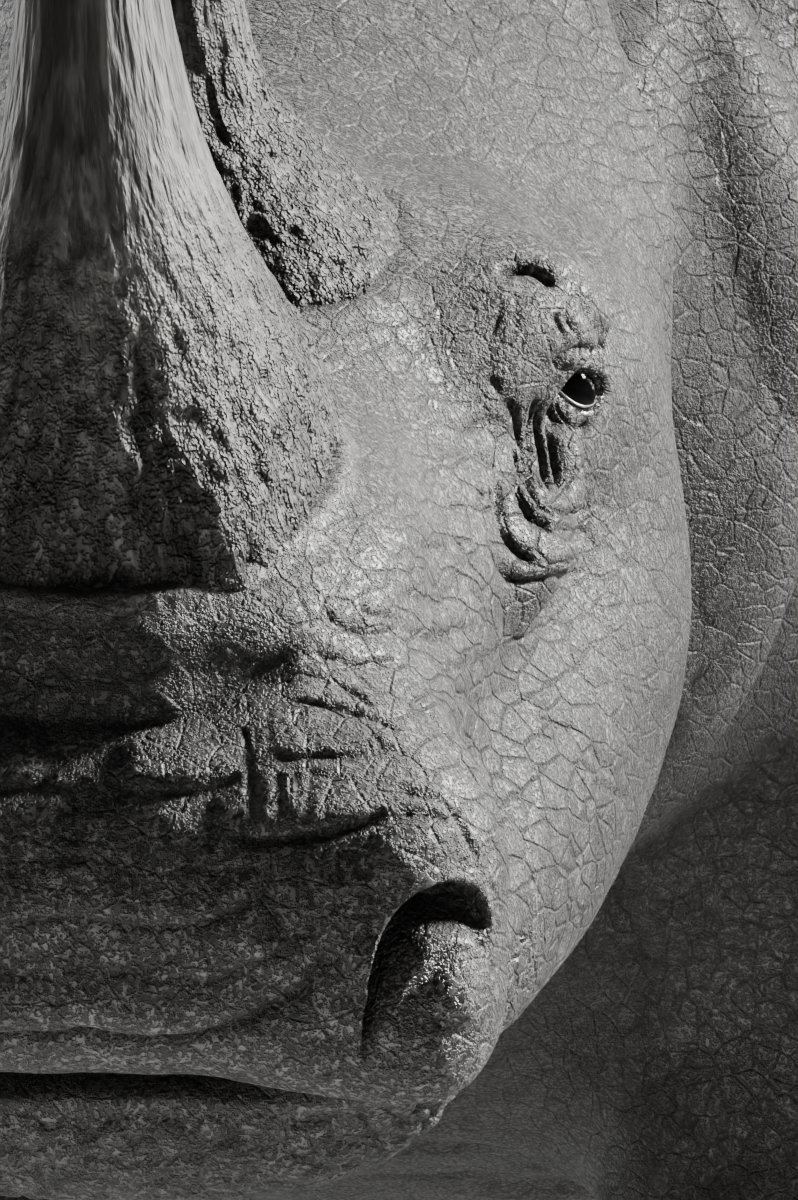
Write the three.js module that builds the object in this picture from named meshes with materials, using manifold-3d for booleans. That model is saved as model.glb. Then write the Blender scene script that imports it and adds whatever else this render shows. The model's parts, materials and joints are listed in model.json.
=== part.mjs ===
// A standing adult white rhinoceros, life size, with its head lowered.
//
// Millimetres, +Z up. The animal faces -Y and its left side is +X. "Forward" below is a distance along -Y,
// counted from the rear of the rump, and the head has a frame of its own: "along" runs from the crest of the
// skull to the lips, "above" is square to that, and both lie in the plane of symmetry.
//
// The flesh is one smooth field, a blend of tubes with changing sections, which is meshed region by region.
// Horns, ears, eyes, nails and the tail are seated in it with a fine gap all round.
import * as THREE from "three";
import { mergeVertices } from "three/addons/utils/BufferGeometryUtils.js";
import Module from "manifold-3d";

const wasm = await Module();
wasm.setup();

// Driving dimensions.
const GAP = 0.3; // between parts that touch
const CREST = { forward: 2770, height: 1462 }; // top of the skull, between the ears
const HEAD_PITCH = THREE.MathUtils.degToRad(32); // the head's long axis below the horizontal
const HEAD_LENGTH = 968;
const LEG_CUT = 610; // height at which a leg leaves the trunk
const FOOT_CUT = 165;
const NECK_CUT = { forward: 2420, height: 1250, lean: THREE.MathUtils.degToRad(-12) };
const SKULL_CUT = { along: 56, above: -230, lean: THREE.MathUtils.degToRad(23) };
const EYE = { along: 474, side: 172, above: -168, radius: 21 };
const LID = { thickness: 7, gape: 11, length: 21, deep: 24 };
const GAZE = { along: 0.53, side: 0.72, above: 0.4 }; // the way that an eye faces
const NOSTRIL = { along: 924, side: 138, above: -238 };
const MOUTH = { above: -319, gape: 7, depth: 18, corner: 792, round: 60 };

// Rows of [forward, top, bottom, half width, squareness, narrowing above, narrowing below].
const TRUNK = curvesThrough([
  [0, 1392, 900, 340, 2.2, 0.1, 0.1],
  [300, 1532, 745, 440, 2.3, 0.12, 0.08],
  [500, 1580, 690, 490, 2.35, 0.14, 0.04],
  [700, 1568, 640, 532, 2.4, 0.16, 0.02],
  [900, 1536, 606, 566, 2.4, 0.16, 0.02],
  [1150, 1508, 584, 590, 2.4, 0.16, 0.03],
  [1400, 1508, 590, 582, 2.4, 0.17, 0.05],
  [1650, 1536, 622, 552, 2.4, 0.18, 0.08],
  [1850, 1588, 660, 516, 2.4, 0.2, 0.1],
  [2050, 1656, 698, 474, 2.4, 0.24, 0.12],
  [2250, 1718, 742, 428, 2.4, 0.28, 0.16],
  [2400, 1704, 790, 384, 2.35, 0.3, 0.18],
  [2540, 1634, 826, 344, 2.3, 0.3, 0.18],
  [2610, 1590, 846, 304, 2.3, 0.3, 0.18],
  [2690, 1536, 874, 208, 2.3, 0.3, 0.18],
  [2790, 1470, 920, 172, 2.2, 0.28, 0.2],
  [2930, 1395, 1010, 150, 2.2, 0.2, 0.22],
]);
const TRUNK_ENDS = { rear: 0, rearRound: 300, front: 2930, frontRound: 170 };

// Rows of [along, top, bottom, half width, squareness, narrowing above, narrowing below].
const SKULL = curvesThrough([
  [-140, -20, -340, 150, 2.2, 0.2, 0.2],
  [0, 0, -380, 180, 2.2, 0.3, 0.12],
  [100, -12, -404, 206, 2.25, 0.36, 0.06],
  [200, -32, -416, 208, 2.3, 0.38, 0.04],
  [300, -50, -412, 206, 2.4, 0.38, 0.04],
  [400, -58, -396, 198, 2.4, 0.36, 0.06],
  [480, -60, -376, 188, 2.5, 0.34, 0.08],
  [560, -66, -356, 180, 2.5, 0.3, 0.08],
  [640, -78, -340, 170, 2.6, 0.26, 0.06],
  [720, -92, -328, 165, 2.8, 0.23, 0.02],
  [800, -106, -321, 167, 3.0, 0.22, 0.0],
  [860, -124, -319, 171, 3.2, 0.22, 0.0],
  [920, -152, -319, 172, 3.4, 0.2, 0.0],
  [980, -178, -321, 168, 3.4, 0.16, 0.0],
]);
const SKULL_ENDS = { rear: -140, rearRound: 60, front: HEAD_LENGTH, frontRound: 80, square: 3 };
const JAW = curvesThrough([
  [70, -190, -508, 168, 2.3, 0.3, 0.2],
  [180, -190, -540, 198, 2.5, 0.28, 0.1],
  [300, -190, -554, 212, 2.7, 0.26, 0.04],
  [450, -196, -536, 212, 2.8, 0.24, 0.02],
  [600, -216, -498, 196, 2.8, 0.2, 0.04],
  [720, -232, -460, 180, 2.8, 0.1, 0.1],
  [830, -244, -424, 167, 2.8, 0.0, 0.18],
  [940, -256, -394, 160, 3.0, 0.0, 0.2],
]);
const JAW_ENDS = { rear: 70, rearRound: 100, front: 944, frontRound: 64, square: 2.6 };

// Rows of [height, side, forward of the leg's line, half width, half length].
const FORELEG = curvesThrough([
  [-60, 272, 12, 132, 142],
  [40, 272, 12, 137, 149],
  [100, 272, 8, 132, 140],
  [180, 274, -2, 118, 124],
  [270, 276, -6, 113, 117],
  [390, 278, 4, 124, 130],
  [500, 282, -2, 126, 136],
  [620, 290, -14, 142, 162],
  [760, 302, -22, 158, 206],
  [900, 316, 6, 166, 240],
  [1080, 330, 44, 156, 256],
  [1300, 318, 58, 118, 232],
]);
const HINDLEG = curvesThrough([
  [-60, 256, 6, 122, 134],
  [40, 256, 6, 127, 141],
  [100, 256, 2, 123, 132],
  [180, 256, -10, 110, 116],
  [280, 256, -26, 104, 110],
  [400, 258, -44, 110, 134],
  [500, 264, -26, 122, 150],
  [620, 282, 22, 146, 194],
  [760, 304, 62, 174, 252],
  [900, 318, 84, 190, 290],
  [1080, 318, 70, 190, 298],
  [1300, 296, 30, 142, 240],
]);
const LEG_TOP = { height: 1300, round: 200 };
const LEGS = [
  { name: "front_left", side: 1, curve: FORELEG, forward: 2150, stride: 70 },
  { name: "front_right", side: -1, curve: FORELEG, forward: 2150, stride: -45 },
  { name: "hind_left", side: 1, curve: HINDLEG, forward: 470, stride: -60 },
  { name: "hind_right", side: -1, curve: HINDLEG, forward: 470, stride: 75 },
];
const TOE_ANGLES = [-58, 0, 58]; // degrees from straight ahead

// Creases of thick skin that ring the neck and trunk: [forward, lean, depth, width, low, high].
const CREASES = [
  [2650, 0.16, 16, 40, 850, 1300],
  [2510, 0.2, 22, 46, 790, 1400],
  [1835, -0.12, 18, 55, 640, 1150],
  [850, 0.28, 22, 60, 560, 980],
];

// --- curves and fields -----------------------------------------------------------------------------------

/** Rows of [position, value, value...] become a function that gives the values, eased between rows. */
function curvesThrough(rows) {
  const at = rows.map((row) => row[0]);
  const columns = rows[0].length - 1;
  const step = (i) => at[i + 1] - at[i];
  const rise = (i, c) => (rows[i + 1][c] - rows[i][c]) / step(i);
  const slope = (i, c) => {
    if (i === 0) return rise(0, c);
    if (i === rows.length - 1) return rise(i - 1, c);
    const before = rise(i - 1, c);
    const after = rise(i, c);
    return before * after <= 0 ? 0 : (2 * before * after) / (before + after);
  };
  const slopes = rows.map((_, i) => Array.from({ length: columns }, (_, c) => slope(i, c + 1)));
  return (position) => {
    const p = THREE.MathUtils.clamp(position, at[0], at[at.length - 1]);
    let i = 0;
    while (i < rows.length - 2 && p > at[i + 1]) i += 1;
    const h = step(i);
    const t = (p - at[i]) / h;
    return slopes[i].map((m, c) => {
      const low = rows[i][c + 1];
      const high = rows[i + 1][c + 1];
      const eased = (3 - 2 * t) * t * t;
      const bend = h * t * (1 - t) * (m * (1 - t) - slopes[i + 1][c] * t);
      return low + (high - low) * eased + bend;
    });
  };
}

/** The lesser of two distances, with a fillet about as wide as reach where they meet. */
function blend(a, b, reach) {
  const t = Math.max(reach - Math.abs(a - b), 0) / reach;
  return Math.min(a, b) - (t * t * reach) / 4;
}

/** How much a section has shrunk near the round end of its tube, from 1 to almost 0. */
function roundEnd(position, ends) {
  const front = Math.max(0, position - (ends.front - ends.frontRound)) / ends.frontRound;
  const rear = Math.max(0, ends.rear + ends.rearRound - position) / ends.rearRound;
  const beyond = Math.min(1, Math.max(front, rear));
  const power = ends.square ?? 2;
  return Math.max(1e-3, (1 - beyond ** power) ** (1 / power));
}

/** Distance from a point of a section plane to the section's outline, less than 0 inside. */
function outlineDistance(side, rise, half, reach, power, narrowing) {
  const t = Math.abs(rise / reach);
  const width = half * (1 - narrowing * Math.min(1, t) ** 1.5);
  const ratio = ((Math.abs(side) / width) ** power + t ** power) ** (1 / power);
  return ratio < 1e-4 ? -Math.min(half, reach) : Math.hypot(side, rise) * (1 - 1 / ratio);
}

/** Distance to a level tube whose sections stand square to its length. */
function tubeDistance(curve, ends, along, side, above) {
  const beyond = Math.max(ends.rear - along, along - ends.front, 0);
  const [top, bottom, half, power, narrowTop, narrowBottom] = curve(along);
  const shrink = roundEnd(along, ends);
  const rise = above - (top + bottom) / 2;
  const narrowing = rise > 0 ? narrowTop : narrowBottom;
  const flat = outlineDistance(
    side, rise, half * shrink, ((top - bottom) / 2) * shrink, power, narrowing,
  );
  return beyond > 0 ? Math.hypot(Math.max(flat, 0), beyond) : flat;
}

/** Distance to an ellipsoid, close enough for blending. */
function ballDistance(along, side, above, ball) {
  const [a, s, u] = [along - ball.along, side - ball.side, above - ball.above];
  const ratio = Math.hypot(a / ball.radii[0], s / ball.radii[1], u / ball.radii[2]);
  return ratio < 1e-4 ? -Math.min(...ball.radii) : Math.hypot(a, s, u) * (1 - 1 / ratio);
}

/** A leg stands along the vertical, and its foot is moved forward or back by its stride. */
function legDistance(leg, side, forward, height) {
  const [lineSide, lineForward, half, reach] = leg.curve(height);
  const swing = leg.stride * THREE.MathUtils.clamp(1 - height / 900, 0, 1);
  const shrink = roundEnd(height, {
    rear: -1e6, rearRound: 1, front: LEG_TOP.height, frontRound: LEG_TOP.round,
  });
  const flat = outlineDistance(
    side * leg.side - lineSide, forward - leg.forward - lineForward - swing,
    half * shrink, reach * shrink, 2.3, 0,
  );
  let distance = height > LEG_TOP.height ? Math.hypot(Math.max(flat, 0), height - LEG_TOP.height) : flat;
  for (const toe of toesOf(leg)) {
    const ball = { along: toe.forward, side: toe.side, above: 48, radii: [64, 60, 62] };
    if (height < 260) distance = blend(distance, ballDistance(forward, side, height, ball), 26);
  }
  return distance;
}

/** Where a leg's three toes are, with the way that each points. */
function toesOf(leg) {
  const [lineSide, lineForward, half] = leg.curve(0);
  return TOE_ANGLES.map((degrees) => {
    const angle = THREE.MathUtils.degToRad(degrees);
    const out = half - 36;
    return {
      angle,
      side: leg.side * lineSide + Math.sin(angle) * out,
      forward: leg.forward + lineForward + leg.stride + Math.cos(angle) * (out + 14),
      out,
    };
  });
}

const SKULL_BALLS = [
  { along: 300, side: 156, above: -350, radii: [180, 66, 140], reach: 60 }, // cheek muscle
  { along: 440, side: 122, above: -124, radii: [96, 52, 42], reach: 50 }, // brow
  { along: 346, side: 158, above: -206, radii: [104, 42, 50], reach: 50 }, // cheek bone
  { along: 464, side: 150, above: -146, radii: [46, 43, 46], reach: 30 }, // mound over the eye
  { along: 500, side: 146, above: -216, radii: [44, 41, 52], reach: 34 }, // bags under it
  { along: 886, side: 132, above: -240, radii: [66, 50, 62], reach: 34 }, // nostril swelling
  { along: 914, side: 118, above: -290, radii: [50, 56, 36], reach: 34 }, // corner of the upper lip
];
const HORN_BOSSES = [
  { along: 760, side: 0, above: -132, radii: [150, 132, 58], reach: 34 },
  { along: 502, side: 0, above: -108, radii: [118, 112, 58], reach: 34 },
];

/** Distance to the head, in the head's own frame. */
function headDistance(along, side, above) {
  const away = Math.abs(side);
  let distance = tubeDistance(SKULL, SKULL_ENDS, along, away, above);
  distance = blend(distance, tubeDistance(JAW, JAW_ENDS, along, away, above), 26);
  for (const ball of [...SKULL_BALLS, ...HORN_BOSSES])
    distance = blend(distance, ballDistance(along, away, above, ball), ball.reach);
  // The hollow behind the nostril.
  const waist = Math.hypot((along - 780) / 1.5, (above + 225) / 1.2);
  return distance + 7 * Math.exp(-((waist / 52) ** 2));
}

/** Where a point of the body's frame lies in the head's frame. */
function inHead(forward, height) {
  const [f, h] = [forward - CREST.forward, height - CREST.height];
  const [c, s] = [Math.cos(HEAD_PITCH), Math.sin(HEAD_PITCH)];
  return [f * c - h * s, f * s + h * c];
}

/** Distance to all the flesh of the animal: what is inside is less than 0. */
function fleshDistance(x, y, z) {
  const forward = -y;
  let distance = tubeDistance(TRUNK, TRUNK_ENDS, forward, Math.abs(x), z);
  for (const [where, lean, depth, width, low, high] of CREASES) {
    const off = (forward - where - lean * (z - 1100)) / width;
    const upright = THREE.MathUtils.smoothstep(z, low - 60, low + 60)
      * (1 - THREE.MathUtils.smoothstep(z, high - 90, high + 90));
    distance += depth * upright * Math.exp(-off * off);
  }
  for (const leg of LEGS)
    if (Math.abs(forward - leg.forward) < 700)
      distance = blend(distance, legDistance(leg, x, forward, z), 90);
  const [along, above] = inHead(forward, z);
  return forward > 2300 ? blend(distance, headDistance(along, x, above), 55) : distance;
}

// --- solids ----------------------------------------------------------------------------------------------

/** A closed three.js geometry as a manifold-3d solid. */
function solidOf(geometry) {
  const bare = new THREE.BufferGeometry().setAttribute("position", geometry.getAttribute("position"));
  bare.setIndex(geometry.index);
  const merged = mergeVertices(bare, 1e-3);
  const triVerts = [];
  const index = merged.index.array;
  for (let i = 0; i < index.length; i += 3) {
    const [a, b, c] = [index[i], index[i + 1], index[i + 2]];
    if (a !== b && b !== c && c !== a) triVerts.push(a, b, c);
  }
  const mesh = new wasm.Mesh({
    numProp: 3,
    vertProperties: merged.getAttribute("position").array,
    triVerts: new Uint32Array(triVerts),
  });
  return new wasm.Manifold(mesh);
}

/** The largest closed surface of a solid. */
function largest(solid) {
  return solid.decompose().reduce((best, piece) => (piece.volume() > best.volume() ? piece : best));
}

/** A solid as a three.js geometry. */
function geometryOf(solid) {
  const mesh = solid.getMesh();
  const geometry = new THREE.BufferGeometry();
  geometry.setAttribute("position", new THREE.BufferAttribute(mesh.vertProperties, 3));
  geometry.setIndex(new THREE.BufferAttribute(mesh.triVerts, 1));
  return geometry;
}

/** Moves each vertex of a closed geometry to where place(point) says. */
function reshape(geometry, place) {
  const points = geometry.getAttribute("position");
  const point = new THREE.Vector3();
  for (let i = 0; i < points.count; i += 1) {
    place(point.fromBufferAttribute(points, i));
    points.setXYZ(i, point.x, point.y, point.z);
  }
  return geometry;
}

/** An ellipsoid with the given radii, placed by a matrix. */
function ballSolid(radii, matrix, around = 10, down = 6) {
  const geometry = new THREE.SphereGeometry(1, around, down);
  return solidOf(geometry.scale(...radii).applyMatrix4(matrix));
}

/** A box that reaches from low to high, placed by a matrix. */
function boxSolid(low, high, matrix = new THREE.Matrix4()) {
  const size = high.map((h, i) => h - low[i]);
  const geometry = new THREE.BoxGeometry(...size);
  geometry.translate(...low.map((l, i) => l + size[i] / 2));
  return solidOf(geometry.applyMatrix4(matrix));
}

/** Carries the head's frame (x = side, y = -along, z = above) into the body's. */
function headFrame() {
  const turn = new THREE.Matrix4().makeRotationX(HEAD_PITCH);
  return new THREE.Matrix4().makeTranslation(0, -CREST.forward, CREST.height).multiply(turn);
}

/** The place of a point of the head's frame, as a matrix that keeps the head's axes. */
function onHead(along, side, above) {
  return headFrame().multiply(new THREE.Matrix4().makeTranslation(side, -along, above));
}

/**
 * Meshes the zero surface of a field inside a box of cells, one vertex to each cell that the surface crosses.
 * The box closes the surface, and frame places the box.
 */
function meshField(field, low, high, cell, frame = new THREE.Matrix4()) {
  const counts = high.map((h, i) => Math.round((h - low[i]) / cell[i]));
  const size = counts.map((n, i) => (high[i] - low[i]) / n);
  const corner = (i, j, k) => (k * (counts[1] + 1) + j) * (counts[0] + 1) + i;
  const local = new THREE.Vector3();
  const valueAt = (x, y, z) => {
    local.set(x, y, z).applyMatrix4(frame);
    return field(local.x, local.y, local.z);
  };
  const values = new Float64Array((counts[0] + 1) * (counts[1] + 1) * (counts[2] + 1));
  for (let k = 0; k <= counts[2]; k += 1)
    for (let j = 0; j <= counts[1]; j += 1)
      for (let i = 0; i <= counts[0]; i += 1) {
        const rim = !i || !j || !k || i === counts[0] || j === counts[1] || k === counts[2];
        const value = valueAt(low[0] + i * size[0], low[1] + j * size[1], low[2] + k * size[2]);
        values[corner(i, j, k)] = rim ? Math.max(value, 1) : value || 1e-6;
      }

  const positions = [];
  const vertexOf = new Map();
  for (let k = 0; k < counts[2]; k += 1)
    for (let j = 0; j < counts[1]; j += 1)
      for (let i = 0; i < counts[0]; i += 1) {
        const sum = [0, 0, 0];
        let crossings = 0;
        for (let axis = 0; axis < 3; axis += 1)
          for (let side = 0; side < 4; side += 1) {
            const start = [i, j, k];
            start[(axis + 1) % 3] += side & 1;
            start[(axis + 2) % 3] += side >> 1;
            const end = [...start];
            end[axis] += 1;
            const [a, b] = [values[corner(...start)], values[corner(...end)]];
            if (a < 0 === b < 0) continue;
            start[axis] += a / (a - b);
            start.forEach((v, n) => (sum[n] += v));
            crossings += 1;
          }
        if (!crossings) continue;
        const point = sum.map((v, n) => low[n] + (v / crossings) * size[n]);
        const inner = [i, j, k].every((v, n) => v > 0 && v < counts[n] - 1);
        vertexOf.set(corner(i, j, k), positions.length / 3);
        positions.push(...(inner ? settle(point, valueAt, Math.min(...size) * 0.4) : point));
      }

  const index = [];
  const stride = [1, counts[0] + 1, (counts[0] + 1) * (counts[1] + 1)];
  for (let k = 0; k < counts[2]; k += 1)
    for (let j = 0; j < counts[1]; j += 1)
      for (let i = 0; i < counts[0]; i += 1)
        for (let axis = 0; axis < 3; axis += 1) {
          const at = [i, j, k];
          if (!at[(axis + 1) % 3] || !at[(axis + 2) % 3]) continue;
          const here = corner(i, j, k);
          const [a, b] = [values[here] < 0, values[here + stride[axis]] < 0];
          if (a === b) continue;
          const [u, v] = [stride[(axis + 1) % 3], stride[(axis + 2) % 3]];
          const ring = [here - u - v, here - v, here, here - u].map((c) => vertexOf.get(c));
          if (!a) ring.reverse();
          index.push(...splitQuad(ring, positions));
        }
  const geometry = new THREE.BufferGeometry();
  geometry.setAttribute("position", new THREE.Float32BufferAttribute(positions, 3));
  geometry.setIndex(index);
  return solidOf(geometry.applyMatrix4(frame));
}

/** Moves a point on to the zero surface, no further than reach. */
function settle(point, valueAt, reach) {
  const nudge = 2;
  let moved = [...point];
  for (let pass = 0; pass < 3; pass += 1) {
    const value = valueAt(...moved);
    const slope = [0, 1, 2].map((n) => {
      const ahead = [...moved];
      ahead[n] += nudge;
      return (valueAt(...ahead) - value) / nudge;
    });
    const steep = slope.reduce((sum, s) => sum + s * s, 0);
    if (steep < 1e-3) break;
    moved = moved.map((m, n) => m - (value * slope[n]) / steep);
  }
  return moved.map((m, n) => THREE.MathUtils.clamp(m, point[n] - reach, point[n] + reach));
}

/** Two triangles for a ring of four vertices, cut along the shorter way across. */
function splitQuad(ring, positions) {
  const apart = (a, b) => Math.hypot(...[0, 1, 2].map((n) => positions[3 * a + n] - positions[3 * b + n]));
  const [p, q, r, s] = ring;
  return apart(p, r) <= apart(q, s) ? [p, q, r, p, r, s] : [q, r, s, q, s, p];
}

// --- parts that are seated in the flesh --------------------------------------------------------------------

const HORNS = {
  // Rows of [height above the seat, half length, half width, lean forward].
  horn_front: {
    along: 760, above: -100, pitch: 6,
    rows: [
      [-34, 114, 92, 0], [0, 120, 95, 0], [40, 114, 89, 2], [85, 99, 75, 4], [130, 80, 60, 4],
      [175, 63, 46, 1], [220, 51, 37, -8], [270, 43, 31, -22], [340, 34, 27, -48], [410, 24, 20, -86],
      [470, 13, 11, -126], [492, 1, 1, -142],
    ],
  },
  horn_rear: {
    along: 500, above: -80, pitch: 2,
    rows: [
      [-32, 94, 92, 0], [0, 98, 96, 0], [20, 88, 84, 1], [50, 68, 60, 3], [80, 52, 42, 4],
      [112, 42, 32, 2], [148, 34, 26, -4], [188, 25, 19, -12], [222, 14, 11, -20], [245, 1, 1, -26],
    ],
  },
};

/** A horn: a lathe turned about its own height, drawn out to ovals and bent back. */
function hornSolid(horn, grow = 0) {
  const { rows, along, above, pitch } = horn;
  const curve = curvesThrough(rows);
  const [foot, tip] = [rows[0][0], rows.at(-1)[0]];
  const steps = 10;
  const outline = [new THREE.Vector2(0, foot)];
  for (let i = 0; i <= steps; i += 1)
    outline.push(new THREE.Vector2(1, foot + (tip - foot) * (i / (steps + 1)) ** 1.15));
  outline.push(new THREE.Vector2(0, tip));
  const geometry = new THREE.LatheGeometry(outline, 16);
  geometry.rotateX(Math.PI / 2);
  reshape(geometry, (p) => {
    const [reach, half, lean] = curve(p.z);
    // The base is squared, the shaft is oval.
    const power = 2 + 0.9 * (1 - THREE.MathUtils.smoothstep(p.z, 0, 120));
    const size = Math.hypot(p.x, p.y);
    const corner = size > 0 ? size / (Math.abs(p.x) ** power + Math.abs(p.y) ** power) ** (1 / power) : 1;
    p.set(p.x * corner * (half + grow), p.y * corner * (reach + grow) - lean, p.z === foot ? p.z - grow : p.z);
  });
  const pitched = new THREE.Matrix4().makeRotationX(THREE.MathUtils.degToRad(pitch));
  return solidOf(geometry.applyMatrix4(onHead(along, 0, above).multiply(pitched)));
}

const EAR = {
  along: 46, side: 118, above: -58, length: 268,
  bend: 26, // how far the tip leans back
  seat: 0.35, // share of the roll that lies behind the ear's axis
  sunk: 12,
  root: { deep: 26, radii: [36, 36, 44] },
  // Rows of [share of the length, half the width measured round the ear, radius of its roll, thickness].
  curve: curvesThrough([
    [0, 100, 34, 10], [0.2, 122, 44, 9], [0.45, 132, 57, 7.5], [0.7, 106, 60, 6.5], [0.88, 58, 54, 6],
    [1, 8, 48, 5],
  ]),
};

/** Where the ear's own frame stands: z up the ear, and -y the way that its cup opens. */
function earFrame(side) {
  const root = new THREE.Vector3(0, 0, 0).applyMatrix4(onHead(EAR.along, side * EAR.side, EAR.above));
  const up = new THREE.Vector3(side * 0.4, 0.06, 1).normalize();
  const open = new THREE.Vector3(side * 0.5, -1, 0);
  const back = open.clone().addScaledVector(up, -open.dot(up)).normalize().negate();
  const across = new THREE.Vector3().crossVectors(back, up);
  return new THREE.Matrix4().makeBasis(across, back, up).setPosition(root);
}

/** An ear: a leaf rolled into a cup, on a round root that closes the cup below. */
function earSolid(side, grow = 0) {
  const geometry = new THREE.BoxGeometry(2, 1, 1, 10, 1, 6);
  reshape(geometry, (p) => {
    const share = p.z + 0.5;
    const [halfWidth, roll, thickness] = EAR.curve(share);
    const angle = (p.x * (halfWidth + grow)) / roll;
    const radius = roll + (p.y > 0 ? grow : -thickness - grow);
    const back = EAR.bend * share * share - roll * EAR.seat;
    p.set(Math.sin(angle) * radius, Math.cos(angle) * radius + back, share * EAR.length - EAR.sunk);
  });
  const frame = earFrame(side);
  const low = frame.clone().multiply(new THREE.Matrix4().makeTranslation(0, 0, -EAR.root.deep));
  const root = ballSolid(EAR.root.radii.map((radius) => radius + grow), low, 10, 6);
  return solidOf(geometry.applyMatrix4(frame)).add(root);
}

/** The eyeball, or with grow the hollow that it sits in. */
function eyeSolid(side, grow = 0) {
  const radius = EYE.radius + grow;
  return ballSolid([radius, radius, radius], onHead(EYE.along, side * EYE.side, EYE.above), 12, 8);
}

const NAIL = { half: 47, thick: 24, tall: 50, centre: 40, foot: 6, out: 52, lean: -0.22, middle: 1.12, outer: 0.92 };

/** A toe's nail: a rounded plate on the front of the toe, cut level just above the ground. */
function nailSolid(toe, middle, grow = 0) {
  const share = middle ? NAIL.middle : NAIL.outer;
  const [x, forward] = [Math.sin(toe.angle) * NAIL.out, Math.cos(toe.angle) * NAIL.out];
  const place = new THREE.Matrix4()
    .makeTranslation(toe.side + x, -toe.forward - forward, NAIL.centre)
    .multiply(new THREE.Matrix4().makeRotationZ(toe.angle))
    .multiply(new THREE.Matrix4().makeRotationX(NAIL.lean));
  const radii = [NAIL.half * share + grow, NAIL.thick + grow, NAIL.tall * share + grow];
  const level = boxSolid([-3e3, -3e3, -500], [3e3, 3e3, NAIL.foot - grow]);
  return ballSolid(radii, place, 10, 6).subtract(level);
}

const TAIL = {
  line: new THREE.CatmullRomCurve3([
    new THREE.Vector3(0, -150, 1330), new THREE.Vector3(0, -40, 1285), new THREE.Vector3(2, 20, 1190),
    new THREE.Vector3(6, 34, 1050), new THREE.Vector3(10, 30, 890), new THREE.Vector3(12, 30, 740),
  ]),
  curve: curvesThrough([[0, 76, 76], [0.2, 62, 58], [0.4, 40, 36], [0.7, 26, 22], [1, 16, 14]]),
};
const TUFT = { locks: 18, length: 170, width: 13, thick: 5, rows: 3, from: 0.8, set: 6, spread: 20, root: 0.08 };

/** The tail: a tapering tube along its line, wide at the root. */
function tailSolid(grow = 0) {
  const geometry = new THREE.CapsuleGeometry(1, 1, 2, 10, 12);
  geometry.rotateX(-Math.PI / 2);
  reshape(geometry, (p) => {
    const share = THREE.MathUtils.clamp(0.5 - p.z, 0, 1);
    const over = p.z > 0.5 ? p.z - 0.5 : Math.min(0, p.z + 0.5);
    const [deep, wide] = TAIL.curve(share);
    const centre = TAIL.line.getPoint(share);
    const way = TAIL.line.getTangent(share);
    const back = new THREE.Vector3(0, way.z, -way.y).negate().normalize();
    const end = share < 0.5 ? deep * 0.4 : deep;
    const [x, y] = [p.x * (wide + grow), p.y * (deep + grow)];
    p.copy(centre).addScaledVector(back, y).addScaledVector(way, -over * (end + grow));
    p.x += x;
  });
  return solidOf(geometry);
}

/** One flat, tapered lock of the tail's tuft, bent a little away from the tail. */
function lockSolid(share, angle, length) {
  const geometry = new THREE.ConeGeometry(1, 1, 5, 3);
  geometry.rotateX(-Math.PI / 2);
  const root = TAIL.line.getPoint(share);
  const spin = new THREE.Matrix4().makeRotationZ(angle);
  reshape(geometry, (p) => {
    const down = 0.5 - p.z;
    const out = TUFT.set + TUFT.spread * down * down;
    p.set(p.x * TUFT.width, p.y * TUFT.thick - out, (TUFT.root - down) * length);
  });
  return solidOf(geometry.applyMatrix4(spin.setPosition(root)));
}

/** The tail with its tuft of bristles. */
function tailWithTuft(grow = 0) {
  let tail = tailSolid(grow);
  for (let i = 0; i < TUFT.locks; i += 1) {
    const share = TUFT.from + ((1 - TUFT.from) * (i % TUFT.rows)) / TUFT.rows;
    const angle = (i / TUFT.locks) * 2 * Math.PI + 0.3 * (i % TUFT.rows);
    const uneven = 0.82 + 0.18 * Math.sin(i * 2.4);
    tail = tail.add(lockSolid(share, angle, TUFT.length * uneven));
  }
  return tail;
}

// --- features cut in the head ------------------------------------------------------------------------------

/** Lids round the eye: a thicker ball over the eyeball, with an almond cut through the way that it looks. */
function addEye(head, side) {
  const shell = EYE.radius + LID.thickness;
  const lids = ballSolid([shell, shell, shell], onHead(EYE.along, side * EYE.side, EYE.above), 14, 8);
  const out = new THREE.Vector3(side * GAZE.side, -GAZE.along, GAZE.above).normalize();
  const length = new THREE.Vector3(0, 0, 1).cross(out).normalize();
  const turned = new THREE.Matrix4().makeBasis(length, out, new THREE.Vector3().crossVectors(length, out));
  const opening = onHead(EYE.along, side * EYE.side, EYE.above)
    .multiply(turned)
    .multiply(new THREE.Matrix4().makeTranslation(0, EYE.radius, 0));
  const almond = ballSolid([LID.length, LID.deep, LID.gape], opening, 10, 6);
  return head.add(lids).subtract(almond).subtract(eyeSolid(side, GAP));
}

/** A nostril: a deep hollow with a slit that runs down and back from it. */
function cutNostril(head, side) {
  const turn = new THREE.Matrix4().makeRotationZ(side * 0.75).multiply(new THREE.Matrix4().makeRotationY(side * 0.3));
  const { along, side: out, above } = NOSTRIL;
  const hollow = ballSolid([30, 40, 21], onHead(along, side * out, above).multiply(turn));
  const slit = ballSolid([12, 30, 36], onHead(along + 12, side * (out - 20), above - 24).multiply(turn));
  return head.subtract(hollow).subtract(slit);
}

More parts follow.
